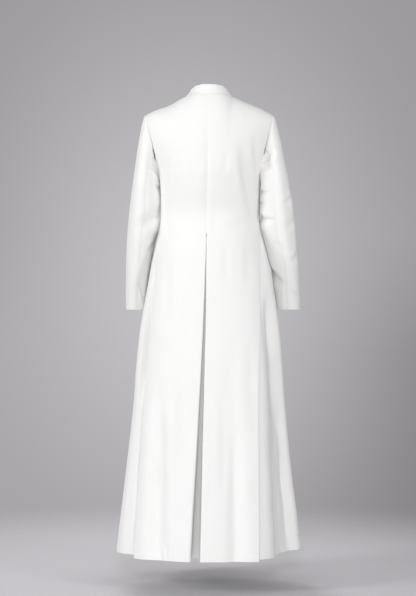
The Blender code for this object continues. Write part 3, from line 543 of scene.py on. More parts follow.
# How far the inside of each sleeve leans in to rest against the side of the trunk
SLEEVE_REST = table(
    "z left right",
    (-0.700, 0.0000, 0.0000),
    (-0.650, 0.0010, 0.0035),
    (-0.584, 0.0040, 0.0065),
    (-0.505, 0.0075, 0.0070),
    (-0.426, 0.0092, 0.0086),
    (-0.347, 0.0068, 0.0080),
    (-0.290, 0.0040, 0.0050),
    (-0.240, 0.0000, 0.0000),
)

# Height of the collar's back by distance from its middle
COLLAR_HEIGHT = table(
    "x height",
    (0.000, 0.0316),
    (0.020, 0.0300),
    (0.044, 0.0262),
    (0.0765, 0.0258),
)


class CassockCloth(bpy.types.PropertyGroup):
    """Sizes and colour of the cloth"""
    wall: FloatProperty(
        name="Cloth thickness", description="Thickness of one layer as sewn",
        default=0.0014, min=0.0005, max=0.003, unit="LENGTH", precision=4)
    collar_wall: FloatProperty(
        name="Collar thickness", description="Thickness of the interfaced collar",
        default=0.0020, min=0.001, max=0.004, unit="LENGTH", precision=4)
    hem: FloatProperty(
        name="Hem depth", description="Depth of the turned hem of the skirt",
        default=0.040, min=0.01, max=0.08, unit="LENGTH", precision=3)
    cuff_hem: FloatProperty(
        name="Cuff hem depth", description="Depth of the turned hem of each sleeve",
        default=0.034, min=0.01, max=0.08, unit="LENGTH", precision=3)
    colour: FloatVectorProperty(
        name="Cloth colour", description="Colour of the wool twill",
        default=(0.83, 0.83, 0.82), min=0.0, max=1.0, subtype="COLOR")
    shade: FloatVectorProperty(
        name="Uneven colour", description="Colour of the slightly duller patches",
        default=(0.79, 0.79, 0.775), min=0.0, max=1.0, subtype="COLOR")
    rib: FloatProperty(
        name="Twill rib", description="Width of one diagonal rib of the twill",
        default=0.0009, min=0.0003, max=0.004, unit="LENGTH", precision=4)


class CassockShape(bpy.types.PropertyGroup):
    """How strongly creases, seams and puckers show"""
    crease: FloatProperty(
        name="Creases", description="Depth of the soft creases against their usual depth",
        default=1.0, min=0.0, max=2.0, subtype="FACTOR")
    hand: FloatProperty(
        name="Unevenness", description="Depth of the cloth's slight unevenness",
        default=0.0006, min=0.0, max=0.003, unit="LENGTH", precision=4)
    seam_dip: FloatProperty(
        name="Seam depth", description="How far the cloth dips into a seam",
        default=0.0008, min=0.0, max=0.003, unit="LENGTH", precision=4)
    seam_width: FloatProperty(
        name="Seam width", description="Distance over which the cloth dips into a seam",
        default=0.0042, min=0.001, max=0.01, unit="LENGTH", precision=4)
    pucker: FloatProperty(
        name="Hem puckers", description="Depth of the small puckers along the hem's stitching",
        default=0.0007, min=0.0, max=0.003, unit="LENGTH", precision=4)


class CassockTrim(bpy.types.PropertyGroup):
    """Buttons, buttonholes and stitches"""
    button_radius: FloatProperty(
        name="Button radius", description="Radius of a covered button",
        default=0.0075, min=0.004, max=0.012, unit="LENGTH", precision=4)
    button_depth: FloatProperty(
        name="Button depth", description="Depth of a covered button from back to crown",
        default=0.0058, min=0.002, max=0.008, unit="LENGTH", precision=4)
    hole_length: FloatProperty(
        name="Buttonhole length", description="Length of a worked buttonhole",
        default=0.020, min=0.01, max=0.03, unit="LENGTH", precision=4)
    stitch_pitch: FloatProperty(
        name="Stitch pitch", description="Distance from one stitch to the next",
        default=0.0032, min=0.0015, max=0.006, unit="LENGTH", precision=4)
    thread: FloatProperty(
        name="Thread thickness", description="Thickness of the sewing thread",
        default=0.00042, min=0.0001, max=0.001, unit="LENGTH", precision=5)
    thread_colour: FloatVectorProperty(
        name="Thread colour", description="Colour of the sewing thread",
        default=(0.84, 0.84, 0.82), min=0.0, max=1.0, subtype="COLOR")


class CassockStudio(bpy.types.PropertyGroup):
    """Floor, backdrop, light and camera"""
    floor_z: FloatProperty(
        name="Floor height", description="Height of the floor under the hem",
        default=-1.600, unit="LENGTH")
    floor_colour: FloatVectorProperty(
        name="Floor colour", description="Colour of the pale floor",
        default=(0.510, 0.499, 0.520), min=0.0, max=1.0, subtype="COLOR")
    # The backdrop's low part is lighter on the wearer's left than on the right: a painted light
    # falling from that side
    low_left: FloatVectorProperty(
        name="Backdrop low left",
        description="Colour of the backdrop near the floor on the wearer's left",
        default=(0.370, 0.361, 0.376), min=0.0, max=1.0, subtype="COLOR")
    low_right: FloatVectorProperty(
        name="Backdrop low right",
        description="Colour of the backdrop near the floor on the wearer's right",
        default=(0.250, 0.242, 0.254), min=0.0, max=1.0, subtype="COLOR")
    high_colour: FloatVectorProperty(
        name="Backdrop high", description="Colour of the backdrop above",
        default=(0.337, 0.328, 0.341), min=0.0, max=1.0, subtype="COLOR")
    glow: FloatVectorProperty(
        name="Backdrop glow",
        description="Colour of the backdrop where the light pools behind the garment",
        default=(0.550, 0.537, 0.557), min=0.0, max=1.0, subtype="COLOR")
    around: FloatProperty(
        name="Light all round",
        description="Brightness of the pale room behind and beside the camera",
        default=0.38, min=0.0, max=2.0)
    left: FloatProperty(
        name="Left light", description="Power of the soft light on the wearer's left in watts",
        default=150.0, min=0.0)
    right: FloatProperty(
        name="Right light", description="Power of the soft light on the wearer's right in watts",
        default=82.0, min=0.0)
    fill: FloatProperty(
        name="Fill light", description="Power of the soft light behind the camera in watts",
        default=188.0, min=0.0)
    front: FloatProperty(
        name="Front light", description="Power of the light before the garment in watts",
        default=130.0, min=0.0)
    lens: FloatProperty(
        name="Lens", description="Focal length of the camera in millimetres",
        default=100.7, min=10.0)


def blend(start, leave, end, arrive, t):
    """Cubic from start to end that sets off and ends in the ways given."""
    first = (2.0 * t ** 3 - 3.0 * t ** 2 + 1.0) * start + (t ** 3 - 2.0 * t ** 2 + t) * leave
    return first + (3.0 * t ** 2 - 2.0 * t ** 3) * end + (t ** 3 - t ** 2) * arrive


def read(source, column, at):
    """Smooth value of a table's column at one place or many, with no overshoot."""
    keys = source["z"] if "z" in source else source["x"]
    values = source[column]
    at = np.clip(at, keys[0], keys[-1])
    step = np.diff(keys)
    slope = np.diff(values) / step
    tangent = np.empty(len(keys))
    tangent[0] = slope[0]
    tangent[-1] = slope[-1]
    for i in range(1, len(keys) - 1):
        same_way = slope[i - 1] * slope[i] > 0.0
        tangent[i] = 2.0 / (1.0 / slope[i - 1] + 1.0 / slope[i]) if same_way else 0.0
    i = np.minimum(np.searchsorted(keys, at, side="right") - 1, len(keys) - 2)
    leave, arrive = step[i] * tangent[i], step[i] * tangent[i + 1]
    return blend(values[i], leave, values[i + 1], arrive, (at - keys[i]) / step[i])


def smooth(value):
    """Ease from 0 to 1."""
    value = np.clip(value, 0.0, 1.0)
    return value * value * (3.0 - 2.0 * value)


def bell(off, wide):
    """From 1 in the middle softly down to 0 on either side."""
    return np.exp(-((off / wide) ** 2))


def signed_power(value, power):
    """A power that keeps the sign."""
    return np.sign(value) * np.abs(value) ** power


def ring(z):
    """The level outline at a height, by distance s from the centre back."""
    angle = np.linspace(-RING_HALF_SWEEP, RING_HALF_SWEEP, RING_POINTS)
    across, along = np.sin(angle), np.cos(angle)
    half = np.where(across >= 0.0, read(TRUNK, "left", z), read(TRUNK, "right", z))
    deep = np.where(along >= 0.0, read(TRUNK, "back", z), read(TRUNK, "front", z))
    corner = np.where(across >= 0.0, read(TRUNK, "square_left", z), read(TRUNK, "square_right", z))
    square = np.where(along >= 0.0, corner, FRONT_SQUARE)
    x = half * signed_power(across, 2.0 / square)
    y = deep * signed_power(along, 2.0 / square)
    run = np.concatenate(([0.0], np.cumsum(np.hypot(np.diff(x), np.diff(y)))))
    run -= run[RING_POINTS // 2]
    return {"z": z, "angle": angle, "x": x, "y": y, "s": run}


def s_at_angle(level, degrees):
    """Distance along the ring to an angle from the centre back."""
    return float(np.interp(math.radians(degrees), level["angle"], level["s"]))


def s_at_back_x(level, x):
    """Distance along the back of the ring to the point at x."""
    back = np.abs(level["angle"]) < math.pi / 2.0
    return float(np.interp(x, level["x"][back], level["s"][back]))


def on_ring(level, s, depth):
    """Points at s on the ring, moved in by depth."""
    x, y = (np.interp(s, level["s"], level[axis]) for axis in "xy")
    after = [np.interp(s + SLOPE_REACH, level["s"], level[axis]) for axis in "xy"]
    before = [np.interp(s - SLOPE_REACH, level["s"], level[axis]) for axis in "xy"]
    across, along = np.subtract(after, before)
    size = np.hypot(across, along)
    height = np.full_like(x, level["z"])
    return np.stack((x + along / size * depth, y - across / size * depth, height), axis=-1)


def fold_depth(x, z, back):
    """Depth of the broad soft folds along one level of the skirt."""
    total = np.zeros_like(x)
    for hem_x, top_x, top_z, width, depth, on_back in zip(*SOFT_FOLDS.values()):
        part = (top_z - z) / (top_z - HEM_Z)
        if bool(on_back) == back and part > 0.0:
            centre = top_x + (hem_x - top_x) * part
            total += depth * smooth(part * FOLD_RISE) * bell(x - centre, width)
    return total


def even(count):
    """A run of a section in equal steps."""
    def points(start, end):
        return [start + (end - start) * step / count for step in range(count)]
    return points


def rounded_path(corners, legs):
    """Points of a folded section, in distance u and depth, its corners rounded."""
    spots = [np.array(corner[:2]) for corner in corners]
    path = []
    start = spots[0]
    for i in range(1, len(spots)):
        before = spots[i] - spots[i - 1]
        if i == len(spots) - 1:
            path += legs[i - 1](start, spots[i]) + [spots[i]]
            break
        after = spots[i + 1] - spots[i]
        sizes = np.linalg.norm(before), np.linalg.norm(after)
        cut = min(corners[i][2], LEG_SHARE * min(sizes))
        end = spots[i] - before / sizes[0] * cut
        path += legs[i - 1](start, end)
        start = spots[i] + after / sizes[1] * cut
        for step in range(corners[i][3]):
            t = step / corners[i][3]
            path.append((1.0 - t) ** 2 * end + 2.0 * t * (1.0 - t) * spots[i] + t ** 2 * start)
    return np.array(path)


def side_table(side):
    """Measures of the side pleat on one side."""
    return SIDE_LEFT if side > 0 else SIDE_RIGHT


def side_edge(level, side):
    """Distance round the ring to the side pleat's fold, or to the side seam above it."""
    degrees = float(read(side_table(side), "edge", level["z"]))
    part = (level["z"] - SIDE_PLEAT_Z) / (UNDERARM_Z - SIDE_PLEAT_Z)
    if part > 0.0:
        degrees += (90.0 - degrees) * float(smooth(part))
    return side * s_at_angle(level, side * degrees)


def centre_return(level, side):
    """The centre pleat's return, from its inner fold up to the face."""
    z = level["z"]
    name = "left" if side > 0 else "right"
    edge = side * s_at_back_x(level, read(CENTRE_PLEAT, name + "_x", z))
    turn = float(read(CENTRE_PLEAT, name + "_turn", z))
    inner = (edge + float(read(CENTRE_PLEAT, "tuck", z)), float(read(CENTRE_PLEAT, "depth", z)))
    return [
        (*inner, 0.0, 0),
        (edge, turn, turn * 0.5, TIGHT_STEPS),
        (edge, 0.0, turn * 0.5, TIGHT_STEPS),
    ]


def side_return(level, side):
    """The back's side fold and return, from the face in to the inner fold."""
    pleat, z = side_table(side), level["z"]
    edge = side_edge(level, side)
    turn = float(read(pleat, "turn", z))
    return [
        (edge, 0.0, turn * 0.5, TIGHT_STEPS),
        (edge, turn, turn * 0.5, TIGHT_STEPS),
        (edge - float(read(pleat, "tuck", z)), float(read(pleat, "depth", z)), 0.0, 0),
    ]


def inner_fold(end, before):
    """Corners of the next piece, which meets a return's end and turns under it."""
    way = np.array(end) - np.array(before)
    way /= np.linalg.norm(way)
    start = np.array(end) + way * SEAM
    corner = np.array(end) + way * FOLD_REACH
    return [
        (*start, 0.0, 0),
        (*corner, LAYER * 0.5, TIGHT_STEPS),
        (corner[0], corner[1] + LAYER, LAYER * 0.5, TIGHT_STEPS),
    ]


def under_run(level, side):
    """The front's side pleat, from the inner fold out to the ring."""
    pleat, z = side_table(side), level["z"]
    edge = side_edge(level, side)
    fold, turn, end = side_return(level, side)
    soft = float(read(pleat, "soft", z))
    corners = inner_fold(end[:2], turn[:2])
    for name in ("second", "wall", "valley"):
        along = float(read(pleat, name + "_along", z))
        depth = float(read(pleat, name + "_depth", z))
        corners.append((edge + along, depth, soft, SOFT_STEPS))
    corners.append((edge + float(read(pleat, "rise", z)), 0.0, soft, SOFT_STEPS))
    return corners


def column_shares():
    """Places of a face's columns, 0 at the centre and 1 at the armhole."""
    edge = NECK_X / TIP_X
    neck = np.sin(math.pi / 2.0 * np.arange(NECK_COLUMNS) / NECK_COLUMNS)
    turn = np.sin(math.pi / 2.0 * np.arange(SHOULDER_COLUMNS + 1) / SHOULDER_COLUMNS)
    return np.concatenate((edge * neck, edge + (1.0 - edge) * turn))


def ring_shares(back):
    """The same columns as shares of the ring's length at the underarm."""
    level = ring(UNDERARM_Z)
    half = float(read(TRUNK, "left", UNDERARM_Z))
    end = s_at_angle(level, 0.0 if back else 180.0)
    quarter = abs(s_at_angle(level, 90.0) - end)
    low, high = (0.0, math.pi / 2.0) if back else (math.pi / 2.0, math.pi)
    area = (level["angle"] >= low) & (level["angle"] <= high)
    x, s = level["x"][area], level["s"][area]
    order = np.argsort(x)
    places = np.interp(column_shares() * half, x[order], s[order])
    return np.abs(places - end) / quarter


def face_leg(level, side, back, top_shares):
    """A run over the face, with the broad soft folds pressed in."""
    count = len(top_shares) - 1
    part = smooth((level["z"] - SIDE_PLEAT_Z) / (UNDERARM_Z - SIDE_PLEAT_Z))
    shares = np.arange(count + 1) / count * (1.0 - part) + top_shares * part
    if not back:
        shares = 1.0 - shares[::-1]

    def points(start, end):
        u = start[0] + (end[0] - start[0]) * shares[:-1]
        x = np.interp(side * u, level["s"], level["x"])
        return list(np.stack((u, fold_depth(x, level["z"], back)), axis=1))
    return points


def back_row(level, side, top_shares):
    """One level section of a back, centre to side."""
    z = level["z"]
    seam = side * s_at_back_x(level, read(SEAM_LINE, "x", z)) + SEAM * 0.5
    inner, inner_legs, lead = [(seam, 0.0, 0.0, 0)], [], CENTRE_FLAP
    if z <= CENTRE_PLEAT_Z:
        inner, inner_legs, lead = centre_return(level, side), [even(n) for n in CENTRE_LEGS], 0
    outer, outer_legs, tail = [(side_edge(level, side) - SEAM * 0.5, 0.0, 0.0, 0)], [], SIDE_FLAP
    if z <= SIDE_PLEAT_Z:
        outer, outer_legs, tail = side_return(level, side), [even(n) for n in SIDE_LEGS], 0
    legs = inner_legs + [face_leg(level, side, True, top_shares)] + outer_legs
    path = rounded_path(inner + outer, legs)
    return framed(on_ring(level, side * path[:, 0], path[:, 1]), lead, tail)


def front_row(level, side, top_shares):
    """One level section of a front, side to centre and on to the end of the lap."""
    z = level["z"]
    centre = side * s_at_angle(level, side * 180.0)
    corners, legs, lead = [(side_edge(level, side) + SEAM * 0.5, 0.0, 0.0, 0)], [], FRONT_FLAP
    if z <= SIDE_PLEAT_Z:
        corners, legs, lead = under_run(level, side), [even(n) for n in UNDER_LEGS], 0
    corners.append((centre - LAP - LAP_CLEAR, 0.0, 0.0, 0))
    path = rounded_path(corners, legs + [face_leg(level, side, False, top_shares)])
    under = LAP_DEPTH if side < 0 else 0.0
    lap = [np.array((centre + x, under * rise)) for x, rise in lap_columns()]
    path = np.array(list(path[:-1]) + lap)
    return framed(on_ring(level, side * path[:, 0], path[:, 1]), lead, 0)


def lap_columns():
    """Places across the lap, from inside the closure out to the edge, and how far
    the under front has stepped in there."""
    inner, whole = -LAP - LAP_CLEAR, 2.0 * LAP + LAP_CLEAR
    steps = smooth(np.linspace(0.0, 1.0, LAP_STEP_COLUMNS))
    inside = [
        (inner - LAP_STEP_WIDTH + LAP_STEP_WIDTH * i / (LAP_STEP_COLUMNS - 1), step)
        for i, step in enumerate(steps)
    ]
    return inside + [(inner + whole * i / LAP_COLUMNS, 1.0) for i in range(1, LAP_COLUMNS + 1)]


def framed(points, lead, tail):
    """A row with its missing places at both ends."""
    return np.concatenate((np.full((lead, 3), np.nan), points, np.full((tail, 3), np.nan)))


def underlay_row(level):
    """One level section of the strip that closes the centre pleat."""
    left = [corner[:2] for corner in centre_return(level, 1)]
    right = [corner[:2] for corner in centre_return(level, -1)]
    near = inner_fold(right[0], right[1])
    far = inner_fold(left[0], left[1])
    corners = [(-u, depth, cut, steps) for u, depth, cut, steps in near] + far[::-1]
    path = rounded_path(corners, [even(n) for n in UNDERLAY_LEGS])
    return on_ring(level, path[:, 0], path[:, 1])


def bodice(side, back, share, t, fixed_x):
    """Points above the underarm: share runs from the centre to the armhole, t up
    to the ridge of the shoulder, and fixed_x holds a column at one X."""
    name = "back" if back else "front"
    rise = np.sin(t * math.pi / 2.0)
    roll = np.maximum(np.cos(t * math.pi / 2.0), 0.0) ** ROLL_POWER
    edge_x = read(ARMHOLE, name, UNDERARM_Z + (TIP_Z - UNDERARM_Z) * rise)
    held = ~np.isnan(fixed_x)
    share = np.where(held, fixed_x / edge_x, share)
    top = read(RIDGE, name, np.where(held, np.abs(fixed_x), np.abs(share) * TIP_X))
    z = UNDERARM_Z + (top - UNDERARM_Z) * rise
    square = float(read(TRUNK, "square_left", UNDERARM_Z)) if back else FRONT_SQUARE
    deep = float(read(TRUNK, name, UNDERARM_Z))
    armhole = ARMHOLE_DEPTH * np.sqrt(rise)
    reach = 1.0 - EDGE_EASE * np.minimum(rise * 2.0, 1.0)
    edge = (1.0 - reach ** square) ** (1.0 / square)
    arch = (1.0 - np.minimum(np.abs(share) * reach, 1.0) ** square) ** (1.0 / square)
    standing = armhole + (deep - armhole) * (arch - edge) / (1.0 - edge)
    x = side * share * edge_x
    if back:
        x = x + np.maximum(1.0 - np.abs(share) * TIP_X / NECK_X, 0.0) ** 2 * read(SEAM_LINE, "x", z)
    return np.stack((x, (standing if back else -standing) * roll, z), axis=-1)


def neck_depth(x, back):
    """How far the neck opening reaches to the back or the front at one X."""
    part = np.minimum(np.abs(x) / NECK_X, 1.0)
    return (NECK_BACK if back else NECK_FRONT) * np.sqrt(1.0 - part * part)


def bodice_columns(side, back):
    """Share, fixed X and inward depth of each column, in the face's order."""
    shares = column_shares()
    if back:
        return shares, np.full(len(shares), np.nan), np.zeros(len(shares))
    lap = lap_columns()
    under = LAP_DEPTH if side < 0 else 0.0
    start = (LAP + LAP_CLEAR + LAP_STEP_WIDTH) / TIP_X
    shares = start + (1.0 - start) * (1.0 - lap_shares())
    count = len(shares)
    return (
        np.concatenate((shares, np.zeros(len(lap)))),
        np.concatenate((np.full(count, np.nan), [-x for x, _ in lap])),
        np.concatenate((np.zeros(count), [under * rise for _, rise in lap])),
    )


def lap_shares():
    """A front's face columns up to the lap, 0 at the armhole."""
    return (1.0 - column_shares()[::-1])[:-1]


def tops(side, back, share, fixed_x):
    """How far up each column runs: to the shoulder seam, or to the neckline."""
    low, high = np.zeros(len(share)), np.ones(len(share))
    shoulder = np.abs(bodice(side, back, share, high, fixed_x)[:, 0]) >= NECK_X
    for _ in range(BISECTIONS):
        middle = (low + high) / 2.0
        point = bodice(side, back, share, middle, fixed_x)
        outside = np.abs(point[:, 1]) > neck_depth(point[:, 0], back)
        low, high = np.where(outside, middle, low), np.where(outside, high, middle)
    return np.where(shoulder, 1.0, high)


def row_parts():
    """Heights of the rows above the underarm, 0 there and 1 at the top."""
    return (np.arange(BODICE_ROWS + 1) / BODICE_ROWS) ** ROW_POWER


def bodice_grid(side, back):
    """Rows of points above the underarm level, on the face's columns."""
    share, fixed_x, _ = bodice_columns(side, back)
    top = tops(side, back, share, fixed_x)
    return np.array([bodice(side, back, share, top * part, fixed_x) for part in row_parts()])


def tangents(points):
    """Directions along the last but one axis, weighted for uneven steps."""
    step = np.diff(points, axis=-2)
    size = np.maximum(np.linalg.norm(step, axis=-1, keepdims=True), TINY)
    way = step / size
    result = np.empty_like(points)
    weight = size[..., :-1, :] + size[..., 1:, :]
    inner = (way[..., :-1, :] * size[..., 1:, :] + way[..., 1:, :] * size[..., :-1, :]) / weight
    result[..., 1:-1, :] = inner
    result[..., 0, :] = 2.0 * way[..., 0, :] - inner[..., 0, :]
    result[..., -1, :] = 2.0 * way[..., -1, :] - inner[..., -1, :]
    return result


def unit(vectors):
    """Vectors of length 1 in the same directions."""
    return vectors / np.maximum(np.linalg.norm(vectors, axis=-1, keepdims=True), TINY)


def level_normals(row, side):
    """Outward directions in the level plane of a section, where it exists."""
    there = ~np.isnan(row[:, 0])
    normals = np.full_like(row, np.nan)
    way = tangents(row[there])
    normals[there] = unit(side * np.stack((-way[:, 1], way[:, 0], np.zeros(len(way))), axis=1))
    return normals


def up_ways(rows):
    """Directions up the columns of a grid, which stands upright at its foot."""
    up = np.swapaxes(tangents(np.swapaxes(rows, 0, 1)), 0, 1)
    up[0] = (0.0, 0.0, 1.0)
    return up


def surface_normals(rows, side):
    """Outward directions of a grid whose rows run up and columns run round."""
    return unit(side * np.cross(up_ways(rows), tangents(rows)))


def skirt_levels():
    """Rows from the hem to the centre pleat's top."""
    return np.linspace(HEM_Z, CENTRE_PLEAT_Z, SKIRT_STEPS + 1)


def waist_levels():
    """Rows between the centre pleat's top and the underarm."""
    between = np.linspace(CENTRE_PLEAT_Z + CLOSED_STEP, SIDE_PLEAT_Z, CLOSING_LEVELS)
    above = np.linspace(SIDE_PLEAT_Z + CLOSED_STEP, UNDERARM_Z, WAIST_STEPS + 1)[:-1]
    return np.concatenate((between, above))


def trunk_grid(side, back):
    """Middle surface and outward directions of a back or a front, hem to top."""
    lead = CENTRE_FLAP if back else FRONT_FLAP
    tail = SIDE_FLAP if back else 0
    make = back_row if back else front_row
    top_shares = ring_shares(back)
    levels = [ring(z) for z in np.concatenate((skirt_levels(), waist_levels()))]
    rows = [make(level, side, top_shares) for level in levels]
    normals = [level_normals(row, side) for row in rows]
    upper = bodice_grid(side, back)
    upward = surface_normals(upper, side)
    upper = upper - upward * bodice_columns(side, back)[2][None, :, None]
    for points, directions in zip(upper, upward):
        rows.append(framed(points, lead, tail))
        normals.append(framed(directions, lead, tail))
    return np.array(rows), np.array(normals)


def pull_in(points, distance):
    """Draw the end columns of a grid back from the seam."""
    for edge, inside in ((0, 1), (-1, -2)):
        points[:, edge] += unit(points[:, inside] - points[:, edge]) * distance


def run_along(points, axis):
    """Length from the start of each row or column, with missing places skipped."""
    step = np.linalg.norm(np.diff(points, axis=axis), axis=-1)
    step = np.nan_to_num(step)
    start = np.zeros_like(np.take(step, [0], axis=axis))
    return np.concatenate((start, np.cumsum(step, axis=axis)), axis=axis)


def crease_lift(creases, across, along, girth=None):
    """Soft troughs and ridges as listed, each fading out at both ends."""
    total = np.zeros_like(across)
    for a0, z0, a1, z1, bow, width, depth, lean, fade in zip(*creases.values()):
        if girth is not None:
            a0, a1 = math.radians(a0) * girth, math.radians(a1) * girth
        length = math.hypot(a1 - a0, z1 - z0)
        way_a, way_z = (a1 - a0) / length, (z1 - z0) / length
        t = ((across - a0) * way_a + (along - z0) * way_z) / length
        off = (along - z0) * way_a - (across - a0) * way_z - bow * (1.0 - (2.0 * t - 1.0) ** 2)
        growth = CREASE_WIDTH_START + CREASE_WIDTH_GROWTH * smooth(t)
        wide = width * (1.0 + lean * np.sign(off)) * growth
        waver = np.sin(length * CREASE_WAVER_RATE * t + a0 * CREASE_WAVER_START)
        ease = smooth(t / fade) * smooth((1.0 - t) / fade) * (1.0 + CREASE_WAVER * waver)
        sides = bell(np.abs(off) - CREASE_SIDE_OUT * wide, wide)
        shape = CREASE_SIDE_HEIGHT * sides - bell(off, wide)
        total += np.where((t > 0.0) & (t < 1.0), depth * ease * shape, 0.0)
    return total


def uneven(across, along):
    """Slight unevenness of cloth that hangs free, from -1 to 1."""
    waves = [np.sin(across * a + along * z + start) for a, z, start in UNEVEN_WAVES]
    return SLOW_SHARE * (waves[0] * waves[1]) + (1.0 - SLOW_SHARE) * (waves[2] * waves[3])


def edge_dips(points, width, ends=(True, True), top=True):
    """How near each place is to a sewn edge, 1 on the seam and 0 inside."""
    along_row = run_along(points, 1)
    there = ~np.isnan(points[..., 0])
    near = np.zeros(there.shape)
    if ends[0]:
        begin = np.where(there, along_row, FAR).min(axis=1, keepdims=True)
        near = np.maximum(near, bell(along_row - begin, width))
    if ends[1]:
        whole = np.where(there, along_row, -1.0).max(axis=1, keepdims=True)
        near = np.maximum(near, bell(whole - along_row, width))
    if top:
        up = run_along(points, 0)
        near = np.maximum(near, bell(up[-1:] - up, width))
    return near


def hem_marks(points, hem, start, pucker):
    """Turned hem: how much thicker the inside is, and the puckers of its stitching."""
    height = points[..., 2] - start
    turned = smooth((hem - height) / HEM_SOFTNESS + 0.5)
    beat, sway, swell = (run_along(points, 1) * rate for rate in PUCKER_RATES)
    strength = PUCKER_STEADY + PUCKER_SWELL * np.sin(swell + 1.0)
    beat = np.sin(beat + PUCKER_SWAY * np.sin(sway)) * strength
    pull = np.maximum(beat, 0.0) ** 3 * bell(height - hem + PUCKER_BELOW, PUCKER_WIDE)
    return turned, -HEM_LINE_DEEP * bell(height - hem, HEM_LINE_WIDE) - pucker * pull


def shell_mesh(name, points, normals, outside, inside, press):
    """A closed thin shell either side of a middle surface, its rim softly rounded."""
    there = ~np.isnan(points[..., 0])
    index = np.full(there.shape, -1)
    index[there] = np.arange(there.sum())
    count = int(there.sum())
    middle, out = points[there], normals[there]
    outer = middle + out * outside[there][:, None]
    inner = middle - out * inside[there][:, None]
    quad = there[:-1, :-1] & there[:-1, 1:] & there[1:, 1:] & there[1:, :-1]
    around = (index[:-1, :-1], index[:-1, 1:], index[1:, 1:], index[1:, :-1])
    around = np.stack(around, axis=-1)[quad]
    uses = {}
    for corners in around.tolist():
        for first, second in zip(corners, corners[1:] + corners[:1]):
            if uses.pop((second, first), None) is None:
                uses[(first, second)] = True
    rim = sorted({corner for edge in uses for corner in edge})
    place = {corner: i for i, corner in enumerate(rim)}
    away = np.zeros((len(rim), 3))
    for first, second in uses:
        way = np.cross(middle[second] - middle[first], (out[first] + out[second]) * 0.5)
        for corner in (first, second):
            away[place[corner]] += unit(way)
    middles = (outer[rim] + inner[rim]) * 0.5
    half = np.linalg.norm(outer[rim] - inner[rim], axis=1, keepdims=True) * 0.5
    rounding = middles + unit(away) * half * RIM_ROUND
    flat = np.concatenate((outer, inner, rounding))
    faces = around.tolist() + (around[:, ::-1] + count).tolist()
    for first, second in uses:
        soft_first, soft_second = 2 * count + place[first], 2 * count + place[second]
        faces.append([second, first, soft_first, soft_second])
        faces.append([soft_second, soft_first, first + count, second + count])
    mesh = bpy.data.meshes.new(name)
    mesh.from_pydata(flat.tolist(), [], faces)
    across, up = run_along(points, 1)[there], run_along(points, 0)[there]
    spread = np.stack((across, up), axis=1)
    spread = np.concatenate((spread, spread, spread[rim]))
    pressed = np.concatenate((press[there], press[there], press[there][rim]))
    add_cloth_data(mesh, spread, pressed)
    work = bmesh.new()
    work.from_mesh(mesh)
    spare = [vertex for vertex in work.verts if not vertex.link_faces]
    bmesh.ops.delete(work, geom=spare, context="VERTS")
    bmesh.ops.recalc_face_normals(work, faces=work.faces)
    for edge in work.edges:
        edge.smooth = edge.calc_face_angle(0.0) < RIM_ANGLE
    for face in work.faces:
        face.smooth = True
    work.to_mesh(mesh)
    work.free()
    return mesh


def add_cloth_data(mesh, spread, pressed):
    """Lay the cloth out flat for the weave, and mark its pressed edges."""
    layer = mesh.uv_layers.new(name="cut")
    corners = np.zeros(len(mesh.loops), dtype=np.int32)
    mesh.loops.foreach_get("vertex_index", corners)
    layer.data.foreach_set("uv", spread[corners].astype(np.float32).ravel())
    mark = mesh.attributes.new("press", "FLOAT", "POINT")
    mark.data.foreach_set("value", pressed.astype(np.float32))


def new_group(name, inputs, outputs):
    """An empty node group with named sockets."""
    group = bpy.data.node_groups.new(name, "ShaderNodeTree")
    for label, kind, default in inputs:
        socket = group.interface.new_socket(name=label, in_out="INPUT", socket_type=kind)
        if default is not None:
            socket.default_value = default
    for label, kind in outputs:
        group.interface.new_socket(name=label, in_out="OUTPUT", socket_type=kind)
    return group, group.nodes.new("NodeGroupInput"), group.nodes.new("NodeGroupOutput")


def feed(tree, socket, value):
    """Link a socket to another, or set its own value."""
    if isinstance(value, bpy.types.NodeSocket):
        tree.links.new(value, socket)
    else:
        socket.default_value = value


def operation_node(tree, kind, operation, values):
    """A node that works on values or sockets."""
    node = tree.nodes.new(kind)
    node.operation = operation
    for socket, value in zip(node.inputs, values):
        feed(tree, socket, value)
    return node


def maths(tree, operation, *values):
    """The result of a sum on numbers."""
    return operation_node(tree, "ShaderNodeMath", operation, values).outputs[0]


def vector_maths(tree, operation, *values):
    """A node that works on vectors."""
    return operation_node(tree, "ShaderNodeVectorMath", operation, values)


def noise(tree, vector, scale, detail=2.0):
    """Soft random patches from 0 to 1."""
    node = tree.nodes.new("ShaderNodeTexNoise")
    node.inputs["Scale"].default_value = scale
    node.inputs["Detail"].default_value = detail
    tree.links.new(vector, node.inputs["Vector"])
    return node.outputs["Fac"]


def mix_colour(tree, factor, first, second):
    """A colour between two others."""
    node = tree.nodes.new("ShaderNodeMix")
    node.data_type = "RGBA"
    for slot, value in ((0, factor), (6, first), (7, second)):
        feed(tree, node.inputs[slot], value)
    return node.outputs[2]


def between(tree, value, limits, results=(0.0, 1.0), kind="SMOOTHSTEP"):
    """Carry a value between two limits over to two results."""
    node = tree.nodes.new("ShaderNodeMapRange")
    node.interpolation_type = kind
    for label, amount in zip(("From Min", "From Max", "To Min", "To Max"), (*limits, *results)):
        node.inputs[label].default_value = amount
    tree.links.new(value, node.inputs["Value"])
    return node.outputs["Result"]


def opaque(colour, share=1.0):
    """A colour at full strength or darkened to a share, with no transparency."""
    return (*(part * share for part in colour), 1.0)


def new_material(name):
    """A material with its node tree and its shader."""
    made = bpy.data.materials.new(name)
    made.use_nodes = True
    return made, made.node_tree, made.node_tree.nodes["Principled BSDF"]


def add_group(tree, name, build):
    """A node that uses a named group, which is built the first time."""
    node = tree.nodes.new("ShaderNodeGroup")
    node.node_tree = bpy.data.node_groups.get(name) or build()
    return node


